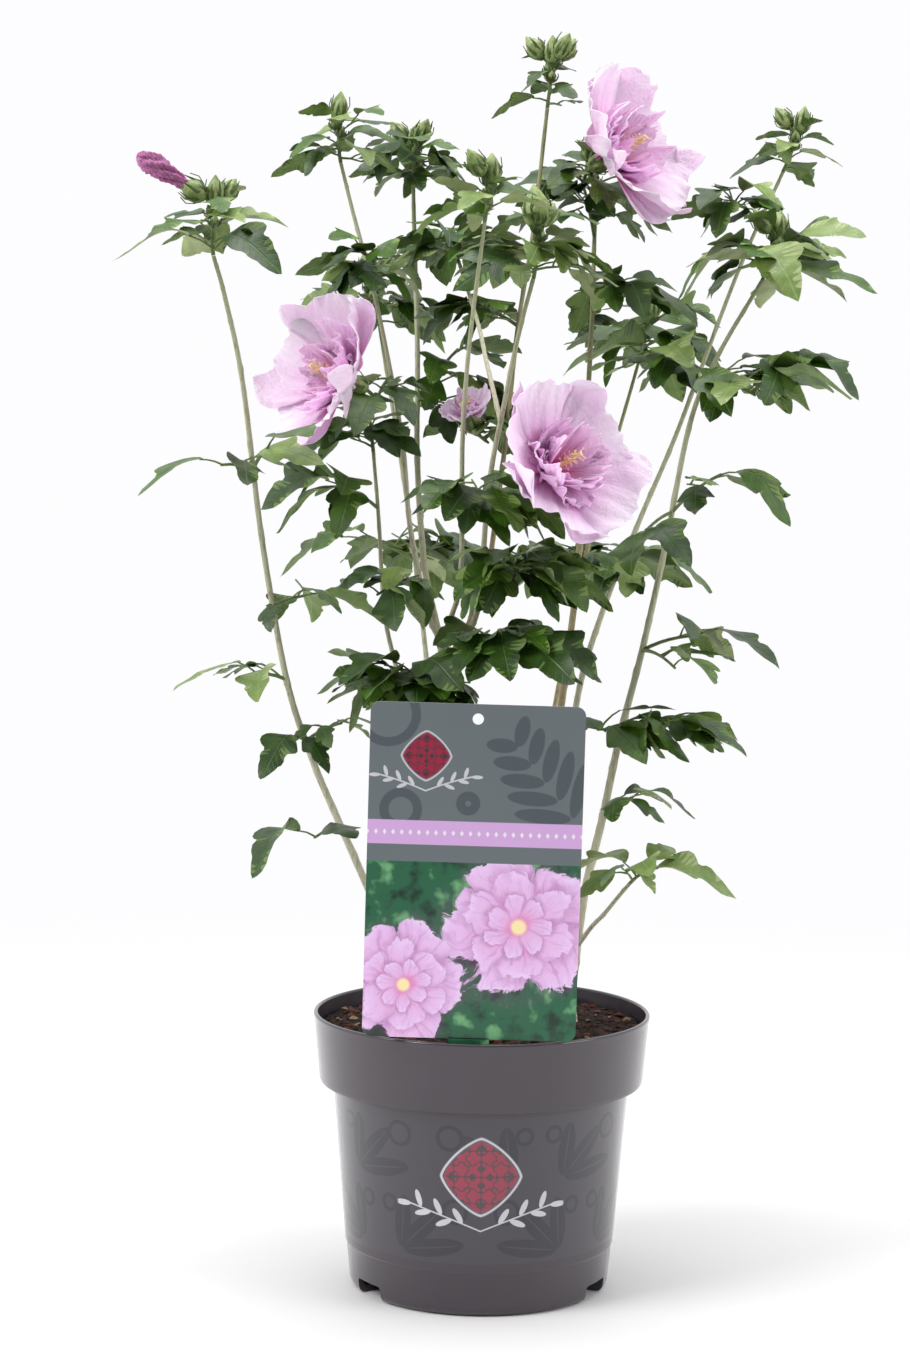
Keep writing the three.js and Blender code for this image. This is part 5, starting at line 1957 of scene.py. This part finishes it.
@dataclass
class Stems:
    """All stems and boughs as one mesh, with the relief of young bark."""

    shrub: Shrub
    step: float = 2.4
    sides: int = 12
    node_step: float = 27.0
    swell: float = 0.3
    brown: tuple[str, ...] = ("stem_brown", "stem_back_right", "bough_top")

    def relief(self, run: float, angle: float, seed: float) -> float:
        """Give how far ridges and leaf joints raise the bark.

        Args:
            run: distance along the limb.
            angle: angle round it.
            seed: shifts its pattern.

        Returns:
            A share of the radius.
        """
        ridges = 0.035 * math.sin(5 * angle + 0.05 * run + seed)
        ridges += 0.025 * math.sin(3 * angle - 0.09 * run + 2 * seed)
        grain = 0.02 * math.sin(run * 1.9 + 4 * angle + seed) + 0.015 * math.sin(run * 0.83 - 2 * angle)
        joint = run / self.node_step + seed
        near = (joint - round(joint)) * self.node_step
        facing = 0.5 + 0.5 * math.cos(angle - round(joint) * GOLDEN_TURN)
        return ridges + grain + self.swell * math.exp(-(near / 1.7) ** 2) * (0.25 + 0.75 * facing ** 3)

    def build(self) -> None:
        """Make the stems."""
        stock = Stock()
        for number, limb in enumerate(self.shrub.limbs.values()):
            length, seed = limb.curve.length(), number * 1.7

            def radius_at(t: float, angle: float, centre: Array) -> float:
                """Give the limb's radius with its relief."""
                return limb.radius(t, centre[2]) * (1 + self.relief(t * length, angle, seed))

            skin = int(limb.name in self.brown)
            stock.tube(limb.curve, round(length / self.step), self.sides, radius_at, skin)
        piece = stock.piece("woody_stems", [YOUNG_BARK.material(), BROWN_BARK.material()])
        Bench.finish(piece, "bark", list(self.shrub.limbs))


@dataclass(frozen=True)
class LeafShape:
    """A leaf of three round lobes: in each row the place on the midrib, then the edge's along and aside."""

    rows: tuple[Place, ...] = (
        (0.0, 0.0, 0.028), (0.04, 0.05, 0.11), (0.09, 0.13, 0.19), (0.14, 0.23, 0.25),
        (0.19, 0.32, 0.3), (0.25, 0.41, 0.345), (0.3, 0.475, 0.34), (0.35, 0.51, 0.285),
        (0.41, 0.53, 0.215), (0.48, 0.575, 0.195), (0.55, 0.625, 0.215), (0.62, 0.69, 0.208),
        (0.69, 0.745, 0.17), (0.77, 0.81, 0.155), (0.85, 0.885, 0.108), (0.93, 0.95, 0.055))
    wave: float = 0.022
    half_thickness: float = 0.22

    def faces(self) -> tuple[Faces, list[int]]:
        """List the faces of the closed blade.

        Returns:
            The faces, and 0 for each upper or 1 for each lower one.
        """
        faces, sides = [], []
        last = len(self.rows) - 1
        tip = 4 * len(self.rows)
        for i in range(last):
            left, top, low, right = (4 * i + k for k in range(4))
            faces += [(left, left + 4, top + 4, top), (top, top + 4, right + 4, right),
                      (right, right + 4, low + 4, low), (low, low + 4, left + 4, left)]
            sides += [0, 0, 1, 1]
        left, top, low, right = (4 * last + k for k in range(4))
        faces += [(left, tip, top), (top, tip, right), (right, tip, low), (low, tip, left), (0, 1, 3, 2)]
        sides += [0, 0, 1, 1, 1]
        return faces, sides

    def points(self, leaf: Leaf, draw: Draw) -> tuple[Array, Array]:
        """Lay the blade in a leaf's frame, with waves along its edge.

        Args:
            leaf: the leaf.
            draw: the seeded numbers.

        Returns:
            The points and their chart.
        """
        points, chart = [], []
        strength, phases = draw.between(0.4, 1.4), (draw.between(0, 6), draw.between(0, 6))
        twist = draw.between(-0.5, 0.5)
        curl = draw.between(-0.05, 0.1)
        def lay(u: float, v: float, lift: float) -> Array:
            """Give the place at u along and v aside, raised by a lift."""
            turned = leaf.side * math.cos(twist * u) + leaf.normal * math.sin(twist * u)
            rise = leaf.fold * abs(v) - leaf.droop * u * u + curl * math.sin(5 * u) + lift
            return leaf.base + (leaf.along * u + turned * v + leaf.normal * rise) * leaf.size

        thick = self.half_thickness / leaf.size
        for row, (rib, along, aside) in enumerate(self.rows):
            left, right = (self.wave * strength * math.sin(0.95 * row + phase) for phase in phases)
            points += [lay(along, -aside, left), lay(rib, 0, thick), lay(rib, 0, -thick)]
            points.append(lay(along, aside, right))
            chart += [(along, 0.5 - aside), (rib, 0.5), (rib, 0.5), (along, 0.5 + aside)]
        points.append(lay(1.0, 0, 0))
        chart.append((1.0, 0.5))
        return np.array(points), np.array(chart)


@dataclass
class Foliage:
    """The leaves of a group of masses as one piece, dealt among the tints."""

    name: str
    masses: list[Mass]
    shape: LeafShape = LeafShape()
    pale: tuple[str, ...] = ("left_top", "right_top", "front_top", "right_front_top", "low_top")

    def tint(self, mass: Mass, leaf: Leaf, draw: Draw) -> Tint:
        """Deal a leaf its tint: fresher near the tips, deeper inside.

        Args:
            mass: its mass.
            leaf: the leaf.
            draw: the random draws.

        Returns:
            The tint.
        """
        young = leaf.size < 0.5 * mass.plan.size
        chance = draw() - (0.12 if young else 0) - (0.34 if mass.plan.name in self.pale else 0)
        return Tint.FRESH if chance < 0.1 else Tint.MIDDLE if chance < 0.5 else Tint.DEEP

    def build(self, materials: list[Material]) -> None:
        """Make the piece.

        Args:
            materials: upper and lower skins, tint by tint.
        """
        stock = Stock()
        faces, sides = self.shape.faces()
        for mass in self.masses:
            draw = Draw(mass.plan.seed + 900)
            for leaf in mass.leaves:
                tint = self.tint(mass, leaf, draw)
                points, chart = self.shape.points(leaf, draw)
                stock.add(points, faces, chart, [2 * tint.value + side for side in sides])
        piece = stock.piece(self.name, materials)
        Bench.finish(piece, "foliage", [f"foliage_{mass.plan.name}" for mass in self.masses])


@dataclass
class Twigs:
    """Green twigs, leaf stalks, and the stalks of buds and blooms as one piece."""

    shrub: Shrub
    sides: int = 6
    span: float = 6.0
    twig_radii: Limits = (1.15, 0.8)
    fine_radii: Limits = (0.75, 0.45)
    leaf_radii: Limits = (0.62, 0.4)
    bud_radii: Limits = (0.95, 0.85)
    bloom_radii: Limits = (1.2, 1.1)

    def rod(self, curve: Curve, radii: Limits) -> None:
        """Add a rod that tapers.

        Args:
            curve: its axis.
            radii: its radius at the start and at the end.
        """
        thick, thin = radii
        count = max(2, round(curve.length() / self.span))
        self.stock.tube(curve, count, self.sides, lambda t, angle, centre: thick + (thin - thick) * t)

    def build(self) -> None:
        """Make the piece."""
        self.stock = Stock()
        for mass in self.shrub.masses:
            for twig in mass.twigs:
                self.rod(twig, self.twig_radii)
            for twig in mass.fine_twigs:
                self.rod(twig, self.fine_radii)
            for leaf in mass.leaves:
                pull = leaf.root + (leaf.base - leaf.root) * 0.55 + UP * leaf.size * 0.03
                self.rod(Bend(leaf.root, pull, leaf.spot(0.04, 0)), self.leaf_radii)
            for bud in mass.buds():
                if np.linalg.norm(bud.waist - bud.foot) > 1:
                    middle = (bud.foot + bud.waist) / 2 + UP
                    self.rod(Bend(bud.foot, middle, bud.waist), self.bud_radii)
            if mass.plan.bloom:
                ahead = mass.plan.bloom.ahead
                self.rod(Bend(mass.twigs[0].point(0.97), ahead(-17), ahead(-9)), self.bloom_radii)
        Bench.finish(self.stock.piece("green_twigs", [TWIG_SKIN.material()]), "foliage")


@dataclass
class Buds:
    """Plump ribbed buds, each in a whorl of slender bracts, as one piece."""

    shrub: Shrub
    sides: int = 10
    bracts: int = 8
    ripe: str = "right_front_top"
    ripe_swell: float = 1.5
    ribs: Limits = (0.94, 1.06)
    spread: float = 4.4
    small_spread: float = 2.6
    bloom_spread: float = 6.5
    calyx_radius: float = 6.0
    bract_share: float = 0.74
    outline: tuple[Spot, ...] = (
        (0.0, 0.3), (0.08, 0.62), (0.22, 0.92), (0.42, 1.0),
        (0.6, 0.86), (0.78, 0.55), (0.92, 0.24), (1.0, 0.06))
    bract_outline: tuple[Spot, ...] = ((0.0, 0.7), (0.3, 1.15), (0.65, 0.85), (1.0, 0.12))

    def body(self, bud: Bud) -> None:
        """Add a ribbed bud.

        Args:
            bud: the bud, from its waist.
        """
        points, chart = [], []
        for share, width in self.outline:
            for j in range(self.sides):
                out = bud.out(2 * math.pi * j / self.sides) * bud.radius * width * self.ribs[j % 2]
                points.append(bud.waist + (bud.tip - bud.waist) * share + out)
                chart.append((j / self.sides, share))
        self.stock.add(np.array(points), tube_faces(len(self.outline) - 1, self.sides), np.array(chart), 0)

    def bract(self, bud: Bud, angle: float, length: float, spread: float) -> None:
        """Add one slender bract that bows outwards from the bud's foot.

        Args:
            bud: the bud.
            angle: where it stands round the bud.
            length: its length.
            spread: how far it bows out.
        """
        along, out = unit(bud.tip - bud.waist), bud.out(angle)
        aside = np.cross(along, out)
        points, chart = [], []
        for t, half in self.bract_outline:
            middle = bud.waist + along * length * t + out * (1.6 + spread * math.sin(t * 2.2))
            for shift, lift in ((-half, 0.0), (0.0, 0.3), (half, 0.0), (0.0, -0.3)):
                points.append(middle + aside * shift + out * lift)
                chart.append((0.5 + shift / 4, t))
        self.stock.add(np.array(points), tube_faces(3, 4), np.array(chart), 1)

    def whorl(self, bud: Bud, spread: float, turn: float) -> None:
        """Add the bracts round a bud.

        Args:
            bud: the bud.
            spread: how far they bow out.
            turn: where the first one stands.
        """
        length = float(np.linalg.norm(bud.tip - bud.waist)) * self.bract_share
        for k in range(self.bracts):
            angle = 2 * math.pi * k / self.bracts + turn
            self.bract(bud, angle, length * (0.85 + 0.3 * (k % 3) / 2), spread)

    def build(self) -> None:
        """Make the piece."""
        self.stock = Stock()
        for mass in self.shrub.masses:
            for number, bud in enumerate(mass.buds()):
                swell = self.ripe_swell if number == 0 and mass.plan.name == self.ripe else 1.0
                foot = bud.waist + (bud.waist - bud.tip) * 0.1
                grown = Bud(foot, foot, foot + (bud.tip - foot) * swell, bud.radius * swell)
                self.body(grown)
                self.whorl(grown, self.spread * swell, mass.plan.seed)
            for bud in mass.small_buds():
                self.body(bud)
                self.whorl(bud, self.small_spread, mass.plan.seed)
            if mass.plan.bloom:
                flower = mass.plan.bloom
                foot = flower.ahead(-13)
                self.body(Bud(foot, foot, flower.ahead(4), self.calyx_radius))
                self.whorl(Bud(foot, foot, flower.ahead(6)), self.bloom_spread, 0.4)
        Bench.finish(self.stock.piece("green_buds", [BUD_SKIN.material(), BRACT_SKIN.material()]), "foliage")


@dataclass(frozen=True)
class PetalPlan:
    """One petal: its turn, reach, half width, rise, ruffle and tilt."""

    turn: float
    reach: float
    half: float
    rise: float
    ruffle: float
    tilt: float
    phase: float


@dataclass(frozen=True)
class PetalRing:
    """A ring of petals: how many, its turn, and the limits between which their sizes are drawn."""

    count: int
    start: float
    sway: float
    reach: Limits
    half: Limits
    rise: Limits
    ruffle: Limits
    tilt: Limits


@dataclass
class Blossom:
    """A double bloom: broad outer petals, ruffled inner ones and a column of stamens."""

    name: str
    flower: Flower
    seed: int
    rows: int = 18
    columns: int = 42
    column_share: float = 0.28
    thickness: float = 0.35
    sacs: int = 40
    sac_half: Place = (0.8, 0.65, 0.65)
    rings: tuple[PetalRing, ...] = (
        PetalRing(5, 0.35, 0.12, (0.9, 0.99), (0.7, 0.8), (0.4, 0.56), (0.07, 0.11), (0.06, 0.16)),
        PetalRing(9, 0.0, 0.3, (0.36, 0.64), (0.24, 0.36), (0.5, 0.95), (0.14, 0.2), (-0.25, 0.25)),
        PetalRing(15, 0.0, 0.4, (0.2, 0.46), (0.12, 0.2), (0.8, 1.4), (0.14, 0.22), (-0.3, 0.3)))
    widths: tuple[Spot, ...] = (
        (0.0, 0.1), (0.15, 0.24), (0.3, 0.46), (0.5, 0.78),
        (0.7, 0.98), (0.85, 1.0), (0.94, 0.95), (1.0, 0.84))

    def plans(self) -> list[PetalPlan]:
        """Plan the petals ring by ring.

        Returns:
            Their plans.
        """
        draw = Draw(self.seed)
        plans = []
        for ring in self.rings:
            for k in range(ring.count):
                turn = 2 * math.pi * k / ring.count + ring.start + draw.between(-ring.sway, ring.sway)
                limits = (ring.reach, ring.half, ring.rise, ring.ruffle, ring.tilt, (0, 6))
                plans.append(PetalPlan(turn, *[draw.between(low, high) for low, high in limits]))
        return plans

    def surface(self, plan: PetalPlan, s: float, w: float) -> Array:
        """Give a place on a petal.

        Args:
            plan: the petal.
            s: 0 at the throat to 1 at the edge.
            w: -1 to 1 across.

        Returns:
            The place.
        """
        radius, phase = self.flower.span / 2, plan.phase
        half = np.interp(s, *zip(*self.widths)) * plan.half
        half *= 1 + 0.06 * math.sin(9 * s + phase) * s
        crepe = 0.5 * math.sin(5.1 * w + 2.2 * s + phase) + 0.36 * math.sin(9.7 * w - 3.1 * s + 2 * phase)
        crepe += 0.24 * math.sin(15.3 * w + 5 * s + 3 * phase)
        crepe += 0.2 * s ** 3 * math.sin(27 * w + 9 * s + phase)
        edge = s ** 1.6 * (0.3 + 0.7 * abs(w) ** 1.5) + 0.5 * s ** 4
        scallop = 0.025 * math.sin(6 * w + phase) + 0.016 * math.sin(25 * w + 2 * phase)
        out = s * (1 - 0.2 * w * w * s) + scallop * s ** 5
        lift = plan.rise * plan.reach * s - 0.06 * math.sin(math.pi * s) + plan.tilt * w * s
        lift += plan.ruffle * min(1.0, 1.7 * plan.half) * crepe * edge + 0.1 * w * w * s * plan.half
        lift += 0.014 * math.cos(19 * w + phase) * math.sin(math.pi * s)
        return self.flower.spot(plan.turn, plan.reach * out * radius, half * w * radius, lift * radius)

    def petal(self, stock: Stock, plan: PetalPlan) -> None:
        """Add one thin closed petal.

        Args:
            stock: where it goes.
            plan: the petal.
        """
        rows = [0.03 + 0.97 * i / self.rows for i in range(self.rows + 1)]
        columns = [j / self.columns for j in range(self.columns + 1)]
        grid = np.array([[self.surface(plan, s, 2 * w - 1) for w in columns] for s in rows])
        normal = np.cross(np.gradient(grid, axis=0), np.gradient(grid, axis=1))
        normal /= np.linalg.norm(normal, axis=2, keepdims=True) + 1e-9
        points = np.vstack([(grid + normal * self.thickness / 2).reshape(-1, 3),
                            (grid - normal * self.thickness / 2).reshape(-1, 3)])
        chart = np.array([(s * (0.42 + 0.58 * plan.reach), w) for s in rows for w in columns])
        stock.add(points, self.petal_faces(), np.vstack([chart, chart]))

    def petal_faces(self) -> Faces:
        """List the faces of a closed petal.

        Returns:
            Its two sides and its rim.
        """
        rows, columns = self.rows, self.columns
        wide, below = columns + 1, (rows + 1) * (columns + 1)
        faces = []
        for i in range(rows):
            for j in range(columns):
                a, b = i * wide + j, (i + 1) * wide + j
                faces.append((a, b, b + 1, a + 1))
                faces.append((a + below, a + 1 + below, b + 1 + below, b + below))
        rim = [(0, j) for j in range(columns)] + [(i, columns) for i in range(rows)]
        rim += [(rows, j) for j in range(columns, 0, -1)] + [(i, 0) for i in range(rows, 0, -1)]
        marks = [i * wide + j for i, j in rim]
        for first, second in zip(marks, marks[1:] + marks[:1]):
            faces.append((first, second, second + below, first + below))
        return faces

    def column(self) -> Stock:
        """Gather the column of stamens with its pollen sacs.

        Returns:
            Its parts.
        """
        draw = Draw(self.seed + 30)
        stock = Stock()
        flower = self.flower
        length = flower.span * self.column_share
        axis = Bend(flower.ahead(1), flower.ahead(length / 2), flower.ahead(length))
        stock.tube(axis, 8, 8, lambda t, angle, centre: 2.0 - 1.1 * t)
        for k in range(self.sacs):
            share = 0.45 + 0.55 * k / self.sacs
            out = draw.between(2.2, 4.2)
            middle = flower.spot(GOLDEN_TURN * k, out, 0, share * length + draw.between(-1, 1.5))
            PottingSoil.crumb(stock, middle, self.sac_half, draw, 0)
            stalk = Bend(flower.ahead(share * length - 1.5), middle, middle)
            stock.tube(stalk, 2, 4, lambda t, angle, centre: 0.22)
        return stock

    def build(self, petal: Material, pollen: Material) -> None:
        """Make the petals, then the column.

        Args:
            petal: the petals' finish.
            pollen: the column's finish.
        """
        stock = Stock()
        for plan in self.plans():
            self.petal(stock, plan)
        Bench.finish(stock.piece(f"{self.name}_petals", [petal], 70), "petal")
        Bench.finish(self.column().piece(f"{self.name}_stamens", [pollen], 60), "petal")


@dataclass
class FadedBlossom:
    """A closed bloom, its petals wound into a twisted roll."""

    flower: Flower
    sides: int = 48
    spans: int = 44
    outline: tuple[Spot, ...] = (
        (0.0, 0.35), (0.12, 0.55), (0.35, 0.8), (0.6, 1.0), (0.8, 0.92), (0.93, 0.6), (1.0, 0.2))

    def radius(self, t: float, angle: float, centre: Array) -> float:
        """Give the roll's radius with its twisted folds.

        Args:
            t: place along it.
            angle: angle round it.
            centre: place of its axis; not used.

        Returns:
            The radius in millimetres.
        """
        folds = 0.34 * abs(math.sin(2.5 * (angle + 3.2 * t))) + 0.08 * math.sin(9 * angle + 23 * t)
        folds += 0.06 * math.sin(17 * angle - 31 * t) + 0.05 * math.sin(41 * t + 3 * angle)
        return self.flower.span * 0.19 * float(np.interp(t, *zip(*self.outline))) * (0.7 + folds)

    def build(self, material: Material) -> None:
        """Make the roll.

        Args:
            material: its finish.
        """
        flower, span = self.flower, self.flower.span
        axis = Bend(flower.ahead(-3), flower.ahead(span * 0.45) + UP * 1.2, flower.ahead(span - 1))
        stock = Stock()
        stock.tube(axis, self.spans, self.sides, self.radius)
        Bench.finish(stock.piece("faded_bloom", [material], 60), "petal")


# Floor, light and camera


@dataclass(frozen=True)
class SoftBox:
    """A square lamp: where it hangs, what it faces, its side in metres and its power in watts."""

    name: str
    place: Place
    target: Place
    side: float
    power: float

    def hang(self) -> None:
        """Hang the lamp."""
        data = bpy.data.lights.new(self.name, "AREA")
        data.size, data.energy = self.side, self.power
        lamp = Bench.link(self.name, data)
        lamp.location = self.place
        lamp.rotation_euler = (Vector(self.target) - Vector(self.place)).to_track_quat("-Z", "Y").to_euler()


@dataclass
class Studio:
    """Pale floor, soft light and the photograph's point of view."""

    eye: Place = (-0.0175, -1.6, 0.472)
    pitch: float = 4.62
    roll: float = 0.7
    lens: float = 75.0
    floor_radius: float = 1.5
    boxes: tuple[SoftBox, ...] = (
        SoftBox("key_box", (-1.7, -1.0, 1.7), (0, 0, 0.4), 1.1, 40),
        SoftBox("fill_box", (1.9, -0.8, 1.1), (0, 0, 0.35), 1.1, 18),
        SoftBox("top_box", (0.1, 0.1, 2.2), (0, 0, 0.3), 1.4, 26),
    )

    def floor(self) -> None:
        """Lay a pale round floor that fades out into the white surround."""
        floor = Bench.start(bpy.ops.mesh.primitive_circle_add, "studio_floor", vertices=96,
                            radius=self.floor_radius, fill_type="NGON", location=(0, 0, -0.0002))
        canvas = Canvas("floor_white")
        x, y, _ = canvas.split(canvas.place())
        reach = Plane(x, y).reach()
        canvas.feed("Alpha", 1 - reach.ease(self.floor_radius * 0.25, self.floor_radius * 0.95))
        canvas.plain(Base_Color=srgb(229, 228, 228), Roughness=0.7)
        floor.data.materials.append(canvas.material)
        floor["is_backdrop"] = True

    def surround(self) -> None:
        """Make the surround: white behind the plant and dimmer on the camera's side."""
        world = bpy.data.worlds.new("surround")
        world.use_nodes = True
        tree = world.node_tree
        direction = tree.nodes.new("ShaderNodeTexCoord")
        parts = tree.nodes.new("ShaderNodeSeparateXYZ")
        power = tree.nodes.new("ShaderNodeMapRange")
        power.interpolation_type = "SMOOTHSTEP"
        for name, value in (("From Min", -0.75), ("From Max", 0.25), ("To Min", 0.34), ("To Max", 1.0)):
            power.inputs[name].default_value = value
        background = tree.nodes["Background"]
        background.inputs["Color"].default_value = (0.985, 0.985, 1.0, 1.0)
        tree.links.new(direction.outputs["Generated"], parts.inputs["Vector"])
        tree.links.new(parts.outputs["Y"], power.inputs["Value"])
        tree.links.new(power.outputs["Result"], background.inputs["Strength"])
        bpy.context.scene.world = world

    def camera(self) -> None:
        """Set the camera at the photograph's place."""
        data = bpy.data.cameras.new("camera")
        data.sensor_fit = "VERTICAL"
        data.sensor_height = 36.0
        data.lens = self.lens
        data.clip_end = 60.0
        camera = Bench.link("camera", data)
        pitch = Matrix.Rotation(math.radians(90 - self.pitch), 4, "X")
        roll = Matrix.Rotation(math.radians(self.roll), 4, "Z")
        camera.matrix_world = Matrix.Translation(self.eye) @ pitch @ roll
        bpy.context.scene.camera = camera

    def build(self) -> None:
        """Set up floor, light and camera."""
        self.floor()
        self.surround()
        for box in self.boxes:
            box.hang()
        self.camera()
        bpy.context.scene.view_settings.view_transform = "Standard"


GROUPS = {
    "leaves_left": ("stem_left",),
    "leaves_centre": ("stem_centre", "bough_left_back", "stem_thin"),
    "leaves_front": ("bough_front", "bough_right_front", "bough_inner"),
    "leaves_middle": ("stem_brown", "bough_top", "stem_right_back"),
    "leaves_right": ("stem_right", "shoot_low"),
    "leaves_back": ("stem_back_left", "stem_back_right"),
}


def corners() -> list[list[float]]:
    """Give the shown object's lowest and highest corner as plain lists."""
    return [[float(part) for part in corner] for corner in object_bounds()]


def main() -> None:
    """Build every piece in order and report it."""
    logging.basicConfig(level=logging.INFO, format="%(name)s: %(message)s")
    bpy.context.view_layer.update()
    Studio().build()
    NurseryPot().build()
    soil = PottingSoil()
    soil.build()
    soil.scatter()
    card = PictureCard()
    card.build()
    shrub = Shrub(card)
    Stems(shrub).build()
    Twigs(shrub).build()
    Buds(shrub).build()
    skins = [skin.material() for skin in LEAF_SKINS]
    for name, limbs in GROUPS.items():
        Foliage(name, [mass for mass in shrub.masses if mass.plan.limb in limbs]).build(skins)
    open_petal, pollen = OPEN_PETAL.material(), POLLEN.material()
    for mass in shrub.masses:
        bloom = mass.plan.bloom
        if bloom is None:
            continue
        if bloom.state is State.FADED:
            FadedBlossom(bloom).build(FADED_PETAL.material())
            continue
        Blossom(mass.plan.name, bloom, mass.plan.seed).build(open_petal, pollen)


if __name__ == "__main__":
    main()
